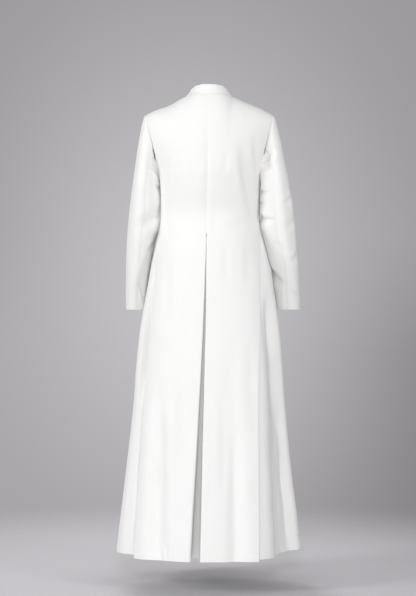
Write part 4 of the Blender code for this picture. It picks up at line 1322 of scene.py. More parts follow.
def add_relief(tree, shader, height, strength, distance):
    """Raise a height as relief on the shader."""
    bump = tree.nodes.new("ShaderNodeBump")
    bump.inputs["Strength"].default_value = strength
    bump.inputs["Distance"].default_value = distance
    tree.links.new(height, bump.inputs["Height"])
    tree.links.new(bump.outputs["Normal"], shader.inputs["Normal"])


def fine_twill():
    """Diagonal ribs of a fine twill, crossed by its yarns, and a tone that paints shade into the
    weave's hollows.
    """
    group, given, made = new_group(
        "fine_twill",
        (("Vector", "NodeSocketVector", None), ("Rib Width", "NodeSocketFloat", 0.0009)),
        (("Height", "NodeSocketFloat"), ("Tone", "NodeSocketFloat")),
    )
    parts = group.nodes.new("ShaderNodeSeparateXYZ")
    group.links.new(given.outputs["Vector"], parts.inputs[0])
    across, along = parts.outputs[0], parts.outputs[1]
    waver = noise(group, given.outputs["Vector"], RIB_WAVER_SCALE)
    slope = maths(group, "MULTIPLY_ADD", along, RIB_SLOPE, across)
    width = given.outputs["Rib Width"]
    phase = maths(group, "DIVIDE", maths(group, "MULTIPLY", slope, math.tau), width)
    rib = maths(group, "SINE", maths(group, "MULTIPLY_ADD", waver, RIB_WAVER, phase))
    yarn = maths(group, "DIVIDE", maths(group, "MULTIPLY", along, math.tau * YARNS_PER_RIB), width)
    cross = maths(group, "SINE", yarn)
    height = maths(group, "MULTIPLY_ADD", rib, RIB_HEIGHT, MIDDLE_HEIGHT)
    height = maths(group, "MULTIPLY_ADD", cross, YARN_HEIGHT, height)
    # The tone darkens the colour where the weave is low, a painted shade in its hollows
    tone = maths(group, "MULTIPLY_ADD", height, TONE_RANGE, TONE_LOW)
    group.links.new(height, made.inputs["Height"])
    group.links.new(tone, made.inputs["Tone"])
    return group


def wool_hand():
    """Slight unevenness of wool in colour and gloss, smoother where it is pressed."""
    group, given, made = new_group(
        "wool_hand",
        (
            ("Vector", "NodeSocketVector", None),
            ("Colour", "NodeSocketColor", (0.83, 0.83, 0.82, 1.0)),
            ("Dull Colour", "NodeSocketColor", (0.79, 0.79, 0.775, 1.0)),
            ("Tone", "NodeSocketFloat", 1.0),
            ("Press", "NodeSocketFloat", 0.0),
            ("Roughness", "NodeSocketFloat", 0.82),
        ),
        (
            ("Colour", "NodeSocketColor"),
            ("Roughness", "NodeSocketFloat"),
            ("Nap", "NodeSocketFloat"),
        ),
    )
    broad = noise(group, given.outputs["Vector"], PATCH_SCALE, 3.0)
    fleck = noise(group, given.outputs["Vector"], FLECK_SCALE)
    broad = maths(group, "MULTIPLY", broad, PATCH_SHARE)
    patch = maths(group, "MULTIPLY_ADD", fleck, FLECK_SHARE, broad)
    patched = mix_colour(group, patch, given.outputs["Colour"], given.outputs["Dull Colour"])
    # Scaling by the tone paints shade into the weave's hollows
    toned = vector_maths(group, "SCALE", patched)
    group.links.new(given.outputs["Tone"], toned.inputs["Scale"])
    gloss = given.outputs["Roughness"]
    gloss = maths(group, "MULTIPLY_ADD", given.outputs["Press"], PRESSED_GLOSS, gloss)
    gloss = maths(group, "MULTIPLY_ADD", fleck, FLECK_GLOSS, gloss)
    group.links.new(toned.outputs[0], made.inputs["Colour"])
    group.links.new(gloss, made.inputs["Roughness"])
    group.links.new(fleck, made.inputs["Nap"])
    return group


def wool_on(tree, shader, colour, dull_colour, roughness):
    """Give a shader the colour and gloss of wool."""
    wool = add_group(tree, "wool_hand", wool_hand)
    wool.inputs["Colour"].default_value = colour
    wool.inputs["Dull Colour"].default_value = dull_colour
    wool.inputs["Roughness"].default_value = roughness
    place = tree.nodes.new("ShaderNodeTexCoord")
    tree.links.new(place.outputs["Object"], wool.inputs["Vector"])
    tree.links.new(wool.outputs["Colour"], shader.inputs["Base Color"])
    tree.links.new(wool.outputs["Roughness"], shader.inputs["Roughness"])
    return wool


def woven_material(name, settings, roughness, relief, sheen):
    """White wool twill, with its weave laid along the cut of each piece."""
    made, tree, shader = new_material(name)
    flat = tree.nodes.new("ShaderNodeUVMap")
    flat.uv_map = "cut"
    press = tree.nodes.new("ShaderNodeAttribute")
    press.attribute_name = "press"
    twill = add_group(tree, "fine_twill", fine_twill)
    twill.inputs["Rib Width"].default_value = settings.rib
    tree.links.new(flat.outputs["UV"], twill.inputs["Vector"])
    wool = wool_on(tree, shader, opaque(settings.colour), opaque(settings.shade), roughness)
    # The twill's tone darkens the wool's colour in the weave's hollows, a painted shade
    tree.links.new(twill.outputs["Tone"], wool.inputs["Tone"])
    tree.links.new(press.outputs["Fac"], wool.inputs["Press"])
    height = maths(tree, "MULTIPLY_ADD", wool.outputs["Nap"], NAP_HEIGHT, twill.outputs["Height"])
    add_relief(tree, shader, height, relief, CLOTH_RELIEF_DEPTH)
    shader.inputs["Sheen Weight"].default_value = sheen
    shader.inputs["Sheen Roughness"].default_value = SHEEN_ROUGHNESS
    shader.inputs["Specular IOR Level"].default_value = CLOTH_SPECULAR
    return made


def thread_material(colour):
    """Spun polyester thread, a little glossier than the cloth."""
    made, tree, shader = new_material("sewing_thread")
    dull = opaque(colour, THREAD_SHADE)
    wool = wool_on(tree, shader, opaque(colour), dull, THREAD_ROUGHNESS)
    add_relief(tree, shader, wool.outputs["Nap"], THREAD_RELIEF, THREAD_RELIEF_DEPTH)
    return made


def cloth_finish(scene, name):
    """A finish of the cloth, which is made the first time."""
    known = bpy.data.materials.get(name)
    return known or woven_material(name, scene.cassock_cloth, *CLOTH_FINISHES[name])


def thread(scene):
    """The thread's finish, which is made the first time."""
    known = bpy.data.materials.get("sewing_thread")
    return known or thread_material(scene.cassock_trim.thread_colour)


def add_piece(context, name, mesh, finish, nodes, place=Matrix()):
    """Link a finished piece, let it ride, and hide the solids it stands for."""
    made = bpy.data.objects.new(name, mesh)
    made.matrix_world = place
    if not mesh.materials:
        mesh.materials.append(finish)
    context.scene.collection.objects.link(made)
    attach(made, BODY)
    if nodes:
        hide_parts(*nodes)
    return made


def add_cloth(context, node, points, normals, lift, press,
              hem=None, finish="white_twill", wall=None):
    """One cloth piece: its shell and its finish."""
    wall = wall or context.scene.cassock_cloth.wall
    turned = np.zeros(points.shape[:2]) if hem is None else hem
    middle = points + normals * np.nan_to_num(lift)[..., None]
    outside = np.full(points.shape[:2], wall * 0.5)
    inside = wall * (0.5 + HEM_THICKER * np.nan_to_num(turned))
    mesh = shell_mesh(node + "_cloth", middle, normals, outside, inside, press)
    material = cloth_finish(context.scene, finish)
    piece = add_piece(context, node + "_cloth", mesh, material, [node])
    return piece


def trunk_lift(context, points, creases, ends):
    """Creases, seams and hem of a back or a front."""
    shape, cloth = context.scene.cassock_shape, context.scene.cassock_cloth
    across, along = points[..., 0], points[..., 2]
    near = edge_dips(points, shape.seam_width, ends)
    turned, marks = hem_marks(points, cloth.hem, HEM_Z, shape.pucker)
    free = 1.0 - HEM_STILLNESS * bell(along - HEM_Z, HEM_STILL_WIDE)
    lift = crease_lift(creases, across, along) * shape.crease
    lift = lift + uneven(across, along) * shape.hand * free
    return lift - near * shape.seam_dip + marks, near, turned


def settled(points, back):
    """The cloth with its shoulder seam drawn together, and the left shoulder let
    down to where it rests."""
    out = np.abs(points[..., 0])
    own, other = ("back", "front") if back else ("front", "back")
    ridge = read(RIDGE, own, out)
    near = 1.0 - smooth((ridge - points[..., 2]) / SETTLE_REACH)
    meet = (read(RIDGE, other, out) - ridge) * 0.5 * (out > NECK_X)
    hollow = bell(points[..., 0] - SHOULDER_HOLLOW_X, SHOULDER_HOLLOW_WIDE)
    rested = points.copy()
    rested[..., 2] += (meet - SHOULDER_HOLLOW_DEEP * hollow) * near
    return rested


def centre_seam_valley(points, side):
    """The shallow valley that the centre back seam lies in."""
    z = points[..., 2]
    off = np.abs(points[..., 0] - read(SEAM_LINE, "x", z))
    foot = smooth((z - VALLEY_FOOT_Z) / VALLEY_FOOT_FADE)
    head = smooth((VALLEY_HEAD_Z - z) / VALLEY_HEAD_FADE)
    depth = -VALLEY_DEEP * (foot * head)
    return depth * bell(off, VALLEY_WIDE[side]) * (z > CENTRE_PLEAT_Z)


class CASSOCK_OT_backs(bpy.types.Operator):
    """Drape the two back panels with the folds of the centre and side pleats"""
    bl_idname = "cassock.backs"
    bl_label = "Back panels"

    def execute(self, context):
        for side, word in SIDES:
            points, normals = trunk_grid(side, True)
            lift, near, turned = trunk_lift(context, points, BACK_CREASES, (True, True))
            lift = lift + centre_seam_valley(points, side)
            add_cloth(
                context, "back_" + word, settled(points, True), normals, lift, near,
                turned)
        return {"FINISHED"}


class CASSOCK_OT_underlay(bpy.types.Operator):
    """Fold the strip that closes the inverted pleat of the centre back"""
    bl_idname = "cassock.underlay"
    bl_label = "Pleat underlay"

    def execute(self, context):
        shape, cloth = context.scene.cassock_shape, context.scene.cassock_cloth
        points = np.array([underlay_row(ring(z)) for z in skirt_levels()])
        normals = np.array([level_normals(row, 1) for row in points])
        near = edge_dips(points, shape.seam_width, (True, True), False)
        turned, marks = hem_marks(points, cloth.hem, HEM_Z, shape.pucker)
        lift = uneven(points[..., 0], points[..., 2]) * shape.hand + marks
        off = points[..., 0] - points[..., 0].mean(axis=1, keepdims=True)
        low = smooth((UNDERLAY_BOW_TOP_Z - points[..., 2]) / UNDERLAY_BOW_FADE)
        lift = lift + UNDERLAY_BOW * bell(off, UNDERLAY_BOW_WIDE) * low
        add_cloth(
            context, "back_pleat_underlay", points, normals, lift, near,
            turned)
        return {"FINISHED"}


class CASSOCK_OT_fronts(bpy.types.Operator):
    """Drape the two fronts, the left over the right"""
    bl_idname = "cassock.fronts"
    bl_label = "Fronts"

    def execute(self, context):
        for side, word in SIDES:
            points, normals = trunk_grid(side, False)
            lift, near, turned = trunk_lift(context, points, FRONT_CREASES, (True, False))
            behind = smooth(points[..., 1] / SIDE_FADE)
            lift = lift + behind * crease_lift(SIDE_CREASES, points[..., 0], points[..., 2])
            if side < 0:
                over = bell(np.minimum(points[..., 0] + LAP, 0.0), LAP_FLATTEN)
                lift = lift * (1.0 - over)
            add_cloth(
                context, "front_" + word, settled(points, False), normals, lift, near,
                turned)
        return {"FINISHED"}


def neck_quarter(side, back):
    """The neckline of one piece, from the centre out to the shoulder seam."""
    x = NECK_X * np.sin(np.linspace(0.0, math.pi / 2.0, COLLAR_COLUMNS))
    x = np.minimum(x, NECK_X - TINY)
    share = np.zeros(len(x))
    return bodice(side, back, share, tops(side, back, share, x), x)


class CASSOCK_OT_collar(bpy.types.Operator):
    """Stand the collar band on the neckline, leaning in towards its top"""
    bl_idname = "cassock.collar"
    bl_label = "Collar"

    def execute(self, context):
        front, back = neck_quarter(1, False), neck_quarter(1, True)
        other_back, other_front = neck_quarter(-1, True), neck_quarter(-1, False)
        base = np.concatenate((front, back[-2::-1], other_back[1:], other_front[-2::-1]))
        rows = []
        for part in np.linspace(0.0, 1.0, COLLAR_ROWS + 1):
            lean = part ** COLLAR_CURVE
            row = base.copy()
            row[:, 0] *= 1.0 - (1.0 - COLLAR_TOP_X) * lean
            row[:, 1] *= 1.0 - (1.0 - COLLAR_TOP_Y) * lean
            forward = smooth(-base[:, 1] / NECK_FRONT)
            height = read(COLLAR_HEIGHT, "height", np.abs(base[:, 0]))
            height = height + (COLLAR_HEIGHT_FRONT - height) * forward
            row[:, 2] += COLLAR_LIFT + height * part
            row[0, 0], row[-1, 0] = COLLAR_GAP * 0.5, -COLLAR_GAP * 0.5
            rows.append(row)
        points = np.array(rows)
        way = tangents(points)
        normals = unit(np.stack((way[..., 1], -way[..., 0], np.zeros(way.shape[:2])), axis=2))
        up = run_along(points, 0)
        down = up[-1:] - up
        near = bell(up, COLLAR_SEAM_WIDE)
        rolled = COLLAR_ROLL * bell(down, COLLAR_ROLL_WIDE)
        line = -COLLAR_LINE * bell(down - COLLAR_LINE_BELOW, COLLAR_LINE_WIDE)
        bumpy = COLLAR_UNEVEN * uneven(*(points[..., i] * rate for i, rate in COLLAR_RATES))
        lift = rolled + line - COLLAR_SEAM_DEEP * near + bumpy
        add_cloth(
            context, "collar", points, normals, lift, near,
            finish="interfaced_twill", wall=context.scene.cassock_cloth.collar_wall)
        return {"FINISHED"}


def sleeve_angle(i):
    """Angle round the sleeve that the armhole's row i leads to, 0 at the outside."""
    return math.pi * (1.0 - i / BODICE_ROWS) ** SLEEVE_SPREAD


def armhole_loop(side):
    """Armhole points and their angles, from the shoulder tip by the back."""
    parts = row_parts()
    back_steps = np.arange(BODICE_ROWS, 0, -1)
    front_steps = np.arange(BODICE_ROWS)
    loose = np.full(BODICE_ROWS, np.nan)
    edge = np.ones(BODICE_ROWS)
    points = np.concatenate((
        bodice(side, True, edge, parts[back_steps], loose),
        bodice(side, False, edge, parts[front_steps], loose),
    ))
    angles = np.concatenate((sleeve_angle(back_steps), 2.0 * math.pi - sleeve_angle(front_steps)))
    return points, angles


def sleeve_ring(side, z, angles):
    """One level section of a sleeve, at the angles given."""
    source = SLEEVE_LEFT if side > 0 else SLEEVE_RIGHT
    inner, outer = read(source, "inner", z), read(source, "outer", z)
    across = signed_power(np.cos(angles), 2.0 / SLEEVE_SQUARE)
    along = signed_power(np.sin(angles), 2.0 / SLEEVE_SQUARE)
    x = (inner + outer) / 2.0 + (outer - inner) / 2.0 * across
    y = read(source, "y_centre", z) + read(source, "half_depth", z) * along
    return np.stack((side * x, y, np.full_like(x, z)), axis=1)


def sleeve_grid(side):
    """The whole sleeve as one closed grid, cuff to armhole, and its angles."""
    top, angles = armhole_loop(side)
    upness = (1.0 + np.cos(angles)) / 2.0
    top[:, 0] += side * (HEAD_CLEAR + (UNDERARM_CLEAR - HEAD_CLEAR) * (1.0 - upness))
    heights = np.linspace(CUFF_Z, SLEEVE_TOP_Z, SLEEVE_ROWS + 1)
    rows = [sleeve_ring(side, z, angles) for z in heights]
    low = rows[-1]
    below = sleeve_ring(side, SLEEVE_TOP_Z - SLEEVE_SLOPE_REACH, angles)
    reach = np.linalg.norm(top - low, axis=1, keepdims=True)
    leave = unit(low - below) * reach * HEAD_LEAVE
    arrive = unit(np.stack((
        -side * (1.0 - HEAD_TURN_IN * (1.0 - upness)),
        -HEAD_TURN_ROUND * np.sin(angles),
        1.0 - HEAD_FLATTEN * upness,
    ), axis=1)) * np.minimum(HEAD_REACH, reach)
    rows += [blend(low, leave, top, arrive, i / CAP_ROWS) for i in range(1, CAP_ROWS + 1)]
    grid = np.array(rows)
    closed = np.concatenate((grid[:, -1:], grid, grid[:, :2]), axis=1)
    return grid, unit(side * np.cross(tangents(closed)[:, 1:-2], up_ways(grid))), angles


class CASSOCK_OT_sleeves(bpy.types.Operator):
    """Sew the upper and under pieces of both sleeves, with their elbow creases"""
    bl_idname = "cassock.sleeves"
    bl_label = "Sleeves"

    def execute(self, context):
        shape, cloth = context.scene.cassock_shape, context.scene.cassock_cloth
        back_seam = BODICE_ROWS - BACK_SEAM_STEP
        front_seam = BODICE_ROWS + FRONT_SEAM_STEP
        for side, word in SIDES:
            grid, directions, angles = sleeve_grid(side)
            around = np.broadcast_to(angles * SLEEVE_GIRTH, grid.shape[:2])
            height = grid[..., 2]
            creases = SLEEVE_CREASES[word]
            lift = crease_lift(creases, around, height, SLEEVE_GIRTH) * shape.crease
            lift = lift + uneven(around, height) * shape.hand
            lift = lift + read(SLEEVE_REST, word, height) * bell(angles - math.pi, REST_SPREAD)
            up = run_along(grid, 0)
            head = bell(up[-1:] - up - HEAD_FULL_BELOW, HEAD_FULL_WIDE)
            lift = lift + HEAD_FULLNESS * (head * (1.0 + np.cos(angles)) * 0.5)
            for name, first, last in (
                ("sleeve_under_", back_seam, front_seam),
                ("sleeve_upper_", front_seam, back_seam + grid.shape[1]),
            ):
                columns = np.arange(first, last + 1) % grid.shape[1]
                points = grid[:, columns].copy()
                pull_in(points, SEAM * 0.5)
                seams = edge_dips(points, shape.seam_width * ELBOW_SEAM_WIDER, (True, True), False)
                head_seam = edge_dips(points, shape.seam_width, (False, False))
                near = np.maximum(seams, head_seam)
                pucker = shape.pucker * CUFF_PUCKER
                turned, marks = hem_marks(points, cloth.cuff_hem, CUFF_Z, pucker)
                dip = seams * ELBOW_SEAM_DEEPER + head_seam * HEAD_SEAM_SHALLOWER
                drop = lift[:, columns] + marks - dip * shape.seam_dip
                add_cloth(
                    context, name + word, points, directions[:, columns], drop, near,
                    turned)
        return {"FINISHED"}


def surface_of(name):
    """A tree of one finished piece, for seating trim on it."""
    mesh = bpy.data.objects[name].data
    points = [vertex.co.copy() for vertex in mesh.vertices]
    return BVHTree.FromPolygons(points, [tuple(face.vertices) for face in mesh.polygons])


def seat_on(tree, x, z, facing=-1.0):
    """The place and outward direction at one X and height, on the front of the
    garment where facing is -1 and on its back where it is 1."""
    spot, normal, _, _ = tree.ray_cast(Vector((x, facing, z)), Vector((0.0, -facing, 0.0)))
    if spot is None:
        raise ValueError("there is no cloth to seat the trim on")
    return spot, normal if normal.y * facing > 0.0 else -normal


def covered_button_mesh(radius, depth):
    """A covered button turned about its own Z axis, its cloth drawn in behind."""
    profile = []
    for i in range(CROWN_STEPS + 1):
        angle = math.pi / 2.0 * i / CROWN_STEPS
        height = CROWN_FOOT + CROWN_RISE * math.cos(angle) ** CROWN_POWERS[1]
        profile.append((radius * math.sin(angle) ** CROWN_POWERS[0], depth * height))
    profile += [(radius * out, depth * up) for out, up in BUTTON_BACK]
    work = bmesh.new()
    vertices = [work.verts.new((x, 0.0, z)) for x, z in profile]
    edges = [work.edges.new(pair) for pair in zip(vertices, vertices[1:])]
    bmesh.ops.spin(
        work, geom=vertices + edges, cent=(0.0, 0.0, 0.0), axis=(0.0, 0.0, 1.0),
        angle=math.tau, steps=BUTTON_STEPS, use_merge=True)
    bmesh.ops.remove_doubles(work, verts=work.verts, dist=MERGE_DISTANCE)
    for vertex in work.verts:
        flat = math.hypot(vertex.co.x, vertex.co.y)
        angle = math.atan2(vertex.co.y, vertex.co.x)
        if flat > radius * BUTTON_GATHER_FROM[0] and vertex.co.z < depth * BUTTON_GATHER_FROM[1]:
            pinch = 1.0 + BUTTON_GATHER_DEPTH * math.sin(angle * BUTTON_GATHERS)
            vertex.co.x *= pinch
            vertex.co.y *= pinch
    bmesh.ops.recalc_face_normals(work, faces=work.faces)
    put_in_order(work)
    mesh = mesh_from(work, "covered_button")
    co = np.zeros(len(mesh.vertices) * 3)
    mesh.vertices.foreach_get("co", co)
    co = co.reshape(-1, 3)
    add_cloth_data(mesh, co[:, :2], np.clip(1.0 - co[:, 2] / depth, 0.0, 1.0) * 0.5)
    mesh.shade_smooth()
    return mesh


class CASSOCK_OT_buttons(bpy.types.Operator):
    """Sew a row of covered buttons down the front"""
    bl_idname = "cassock.buttons"
    bl_label = "Covered buttons"

    def execute(self, context):
        trim = context.scene.cassock_trim
        tree = surface_of("front_left_cloth")
        mesh = covered_button_mesh(trim.button_radius, trim.button_depth)
        finish = cloth_finish(context.scene, "button_twill")
        for i in range(BUTTON_COUNT):
            node = f"button_{i + 1:02d}"
            seat, facing = seat_on(tree, 0.0, BUTTON_TOP_Z - BUTTON_PITCH * i)
            turn = Vector((0.0, 0.0, 1.0)).rotation_difference(facing)
            twist = Matrix.Rotation(BUTTON_TWIST * i, 4, "Z")
            place = Matrix.Translation(seat) @ turn.to_matrix().to_4x4() @ twist
            add_piece(context, "covered_" + node, mesh, finish, [node], place)
        return {"FINISHED"}


def mesh_from(work, name):
    """The mesh drawn with bmesh, which is then put away."""
    mesh = bpy.data.meshes.new(name)
    work.to_mesh(mesh)
    work.free()
    return mesh


def put_in_order(work):
    """One fixed order of edges and faces, since spinning leaves them in any order."""
    work.verts.index_update()
    count = len(work.verts)

    def place(part):
        corners = [vertex.index for vertex in part.verts]
        return min(corners) * count + max(corners)
    for parts in (work.edges, work.faces):
        parts.sort(key=place)


def tube(work, path, radii, sides=6, closed=False):
    """A tube along a path, added to a mesh in the making."""
    count = len(path)
    rings = []
    for i, (spot, radius) in enumerate(zip(path, radii)):
        ahead = path[(i + 1) % count] if closed or i < count - 1 else spot
        behind = path[i - 1] if closed or i > 0 else spot
        way = (ahead - behind).normalized()
        across = way.orthogonal().normalized()
        if rings:
            across = (last_across - way * last_across.dot(way)).normalized()
        last_across = across
        other = way.cross(across)
        rings.append([
            work.verts.new(spot + (across * math.cos(a) + other * math.sin(a)) * radius)
            for a in (math.tau * k / sides for k in range(sides))
        ])
    pairs = list(zip(rings, rings[1:])) + ([(rings[-1], rings[0])] if closed else [])
    for low, high in pairs:
        for k in range(sides):
            work.faces.new((low[k], low[(k + 1) % sides], high[(k + 1) % sides], high[k]))
    if not closed:
        work.faces.new(rings[0][::-1])
        work.faces.new(rings[-1])


def stitch(work, start, end, lift, thread_size):
    """One stitch, drawn into the cloth at both ends."""
    path, radii = [], []
    for i in range(STITCH_STEPS + 1):
        t = i / STITCH_STEPS
        arch = math.sin(math.pi * t)
        path.append(start.lerp(end, t) + lift * (thread_size * (STITCH_ARCH * arch - STITCH_SINK)))
        radii.append(thread_size * (STITCH_END + STITCH_SWELL * arch))
    tube(work, path, radii)


def finish_trim(context, name, work):
    """Turn sewn trim into one piece that rides with the garment."""
    bmesh.ops.recalc_face_normals(work, faces=work.faces)
    mesh = mesh_from(work, name)
    mesh.shade_smooth()
    return add_piece(context, name, mesh, thread(context.scene), [])


class CASSOCK_OT_buttonholes(bpy.types.Operator):
    """Work a buttonhole under each button, lying across the left front"""
    bl_idname = "cassock.buttonholes"
    bl_label = "Buttonholes"

    def execute(self, context):
        trim = context.scene.cassock_trim
        tree = surface_of("front_left_cloth")
        work = bmesh.new()
        half = trim.hole_length * 0.5
        for i in range(BUTTON_COUNT):
            z = BUTTON_TOP_Z - BUTTON_PITCH * i
            path, radii = [], []
            for step in range(HOLE_STEPS):
                angle = math.tau * step / HOLE_STEPS
                along = math.copysign(half * abs(math.cos(angle)) ** HOLE_SQUARE, math.cos(angle))
                flat = Vector((along, HOLE_HALF_WIDTH * math.sin(angle)))
                spot, facing = seat_on(tree, flat.x + half * HOLE_OUT, z + flat.y)
                path.append(spot + facing * trim.thread * HOLE_LIFT)
                radii.append(trim.thread * HOLE_THREAD[step % 2])
            tube(work, path, radii, closed=True)
        finish_trim(context, "buttonholes", work)
        return {"FINISHED"}


class CASSOCK_OT_stitching(bpy.types.Operator):
    """Run the visible stitches down the front edge and round the collar"""
    bl_idname = "cassock.stitching"
    bl_label = "Stitching"

    def execute(self, context):
        trim = context.scene.cassock_trim
        self.front_edge(context, trim)
        self.collar_edge(context, trim)
        self.pleat_tack(context, trim)
        return {"FINISHED"}

    def front_edge(self, context, trim):
        """A line of stitches beside the edge of the left front."""
        tree = surface_of("front_left_cloth")
        work = bmesh.new()
        x, z = -LAP + FRONT_STITCH_IN, FRONT_STITCH_TOP_Z
        while z - trim.stitch_pitch > HEM_Z + FRONT_STITCH_FOOT:
            start, facing = seat_on(tree, x, z)
            end, _ = seat_on(tree, x, z - trim.stitch_pitch * STITCH_SHARE)
            stitch(work, start, end, facing, trim.thread)
            z -= trim.stitch_pitch
        finish_trim(context, "front_edge_stitching", work)

    def collar_edge(self, context, trim):
        """A row of stitches below the collar's top edge and above its seam."""
        mesh = bpy.data.objects["collar_cloth"].data
        tree = surface_of("collar_cloth")
        height = max(vertex.co.z for vertex in mesh.vertices)
        work = bmesh.new()
        for share in COLLAR_STITCH_ROWS:
            line = []
            for step in range(1, COLLAR_STITCH_STEPS):
                angle = math.tau * step / COLLAR_STITCH_STEPS - math.pi / 2.0
                line.append(self.collar_spot(tree, angle, share, height))
            line = [seat for seat in line if seat is not None]
            start, facing = line[0]
            walked, last = 0.0, start
            for spot, normal in line[1:]:
                walked += (spot - last).length
                last = spot
                if walked >= trim.stitch_pitch:
                    stitch(work, start.lerp(spot, COLLAR_STITCH_GAP), spot, facing, trim.thread)
                    start, facing, walked = spot, normal, 0.0
        finish_trim(context, "collar_stitching", work)

    def collar_spot(self, tree, angle, share, height):
        """One place on the collar's outside, at a share of its height there."""
        way = Vector((math.cos(angle), math.sin(angle), 0.0))
        edges = []
        for step in range(COLLAR_RAYS):
            z = COLLAR_RAY_LOW_Z + (height + COLLAR_RAY_SPAN) * step / (COLLAR_RAYS - 1)
            outside = way * COLLAR_RAY_START + Vector((0.0, 0.0, z))
            spot, normal, _, _ = tree.ray_cast(outside, -way)
            if spot is not None and spot.xy.dot(way.xy) > 0.0:
                edges.append((spot, normal))
        if len(edges) < COLLAR_HITS_NEEDED:
            return None
        return edges[int(round(share * (len(edges) - 1)))]

    def pleat_tack(self, context, trim):
        """A short bar of stitches over the top of the centre pleat."""
        work = bmesh.new()
        left, right = surface_of("back_left_cloth"), surface_of("back_right_cloth")
        centre = float(read(SEAM_LINE, "x", CENTRE_PLEAT_Z))
        z = CENTRE_PLEAT_Z + TACK_ABOVE
        for step in TACK_STEPS:
            x = centre + step * TACK_PITCH
            tree = left if step > 0 else right
            start, facing = seat_on(tree, x, z, 1.0)
            end, _ = seat_on(tree, x, z - TACK_LENGTH, 1.0)
            stitch(work, start, end, facing, trim.thread)
        finish_trim(context, "pleat_tack", work)


def floor_material(colour):
    """Pale floor paper that fades into the backdrop away from the garment."""
    made, tree, shader = new_material("floor_paper")
    place = tree.nodes.new("ShaderNodeTexCoord").outputs["Object"]
    reach = vector_maths(tree, "LENGTH", place).outputs["Value"]
    tree.links.new(between(tree, reach, FLOOR_FADE, (1.0, 0.0)), shader.inputs["Alpha"])
    patch = noise(tree, place, FLOOR_PATCH_SCALE)
    tone = mix_colour(tree, patch, opaque(colour), opaque(colour, FLOOR_SHADE))
    tree.links.new(tone, shader.inputs["Base Color"])
    shader.inputs["Roughness"].default_value = FLOOR_ROUGHNESS
    return made


def soft_light(context, name, place, power, size):
    """A round soft light aimed at the garment."""
    lamp = bpy.data.lights.new(name, "AREA")
    lamp.energy = power
    lamp.shape = "DISK"
    lamp.size = size
    made = bpy.data.objects.new(name, lamp)
    made.location = place
    made.rotation_euler = (LIGHT_AIM - Vector(place)).to_track_quat("-Z", "Y").to_euler()
    context.scene.collection.objects.link(made)


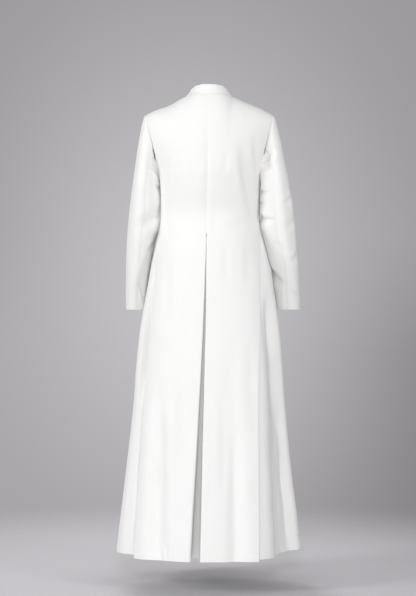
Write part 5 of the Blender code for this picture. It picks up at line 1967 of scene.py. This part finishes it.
class CASSOCK_OT_studio(bpy.types.Operator):
    """Lay the pale floor, set the soft lights and place the camera behind"""
    bl_idname = "cassock.studio"
    bl_label = "Studio"

    def execute(self, context):
        studio = context.scene.cassock_studio
        self.lay_floor(context, studio)
        self.paint_backdrop(context, studio)
        for name, (place, size) in LIGHTS.items():
            soft_light(context, name + "_light", place, getattr(studio, name), size)
        camera = bpy.data.cameras.new("photo_camera")
        camera.lens = studio.lens
        camera.sensor_width = 36.0
        camera.clip_end = 60.0
        made = bpy.data.objects.new("photo_camera", camera)
        made.location = CAMERA_PLACE
        made.rotation_euler = (math.pi / 2.0, 0.0, math.pi)
        context.scene.collection.objects.link(made)
        context.scene.camera = made
        context.scene.view_settings.view_transform = "Standard"
        return {"FINISHED"}

    def lay_floor(self, context, studio):
        """A round floor that stands for the studio and is no part of the garment."""
        work = bmesh.new()
        bmesh.ops.create_circle(work, cap_ends=True, segments=FLOOR_CORNERS, radius=FLOOR_RADIUS)
        mesh = mesh_from(work, "floor")
        mesh.materials.append(floor_material(studio.floor_colour))
        made = bpy.data.objects.new("floor", mesh)
        made.location = (0.0, 0.0, studio.floor_z)
        context.scene.collection.objects.link(made)

    def paint_backdrop(self, context, studio):
        """Backdrop from low to high, its pool of light, and the pale room around."""
        world = bpy.data.worlds.new("backdrop")
        world.use_nodes = True
        tree = world.node_tree
        place = tree.nodes.new("ShaderNodeTexCoord").outputs["Generated"]
        parts = tree.nodes.new("ShaderNodeSeparateXYZ")
        tree.links.new(place, parts.inputs[0])
        across, behind, height = parts.outputs
        rise = between(tree, height, BACKDROP_RISE, kind="LINEAR")
        # The low backdrop is painted lighter on the wearer's left than on the right, a painted light
        # falling from that side
        cross = between(tree, across, BACKDROP_CROSS, kind="LINEAR")
        low = mix_colour(tree, cross, opaque(studio.low_right), opaque(studio.low_left))
        colour = mix_colour(tree, rise, low, opaque(studio.high_colour))
        spread = vector_maths(tree, "MULTIPLY_ADD", place, GLOW_SCALE, GLOW_SHIFT)
        reach = vector_maths(tree, "LENGTH", spread.outputs["Vector"]).outputs["Value"]
        pool = between(tree, reach, (0.0, 1.0), (1.0, 0.0))
        colour = mix_colour(tree, pool, colour, opaque(studio.glow))
        bright = opaque(ROOM_TINT, studio.around)
        colour = mix_colour(tree, between(tree, behind, ROOM_START), colour, bright)
        tree.links.new(colour, tree.nodes["Background"].inputs["Color"])
        context.scene.world = world


class CASSOCK_PT_workroom(bpy.types.Panel):
    """Sizes, colours and steps of the cassock"""
    bl_idname = "CASSOCK_PT_workroom"
    bl_label = "Cassock"
    bl_space_type = "VIEW_3D"
    bl_region_type = "UI"
    bl_category = "Cassock"

    def draw(self, context):
        layout = self.layout
        for name, _ in GROUPS:
            settings = getattr(context.scene, name)
            box = layout.box()
            for label in settings.bl_rna.properties.keys():
                if label not in ("rna_type", "name"):
                    box.prop(settings, label)
        for step in STEPS:
            layout.operator(step.bl_idname)


GROUPS = (
    ("cassock_cloth", CassockCloth),
    ("cassock_shape", CassockShape),
    ("cassock_trim", CassockTrim),
    ("cassock_studio", CassockStudio),
)
STEPS = (
    CASSOCK_OT_backs,
    CASSOCK_OT_underlay,
    CASSOCK_OT_fronts,
    CASSOCK_OT_collar,
    CASSOCK_OT_sleeves,
    CASSOCK_OT_buttons,
    CASSOCK_OT_buttonholes,
    CASSOCK_OT_stitching,
    CASSOCK_OT_studio,
)


def register():
    for name, group in GROUPS:
        bpy.utils.register_class(group)
        setattr(bpy.types.Scene, name, PointerProperty(type=group))
    for step in STEPS:
        bpy.utils.register_class(step)
    bpy.utils.register_class(CASSOCK_PT_workroom)


def unregister():
    bpy.utils.unregister_class(CASSOCK_PT_workroom)
    for step in reversed(STEPS):
        bpy.utils.unregister_class(step)
    for name, group in reversed(GROUPS):
        delattr(bpy.types.Scene, name)
        bpy.utils.unregister_class(group)


def main():
    register()
    bpy.ops.cassock.studio()
    bpy.ops.cassock.backs()
    bpy.ops.cassock.underlay()
    bpy.ops.cassock.fronts()
    bpy.ops.cassock.collar()
    bpy.ops.cassock.sleeves()
    bpy.ops.cassock.buttons()
    bpy.ops.cassock.buttonholes()
    bpy.ops.cassock.stitching()


if __name__ == "__main__":
    main()
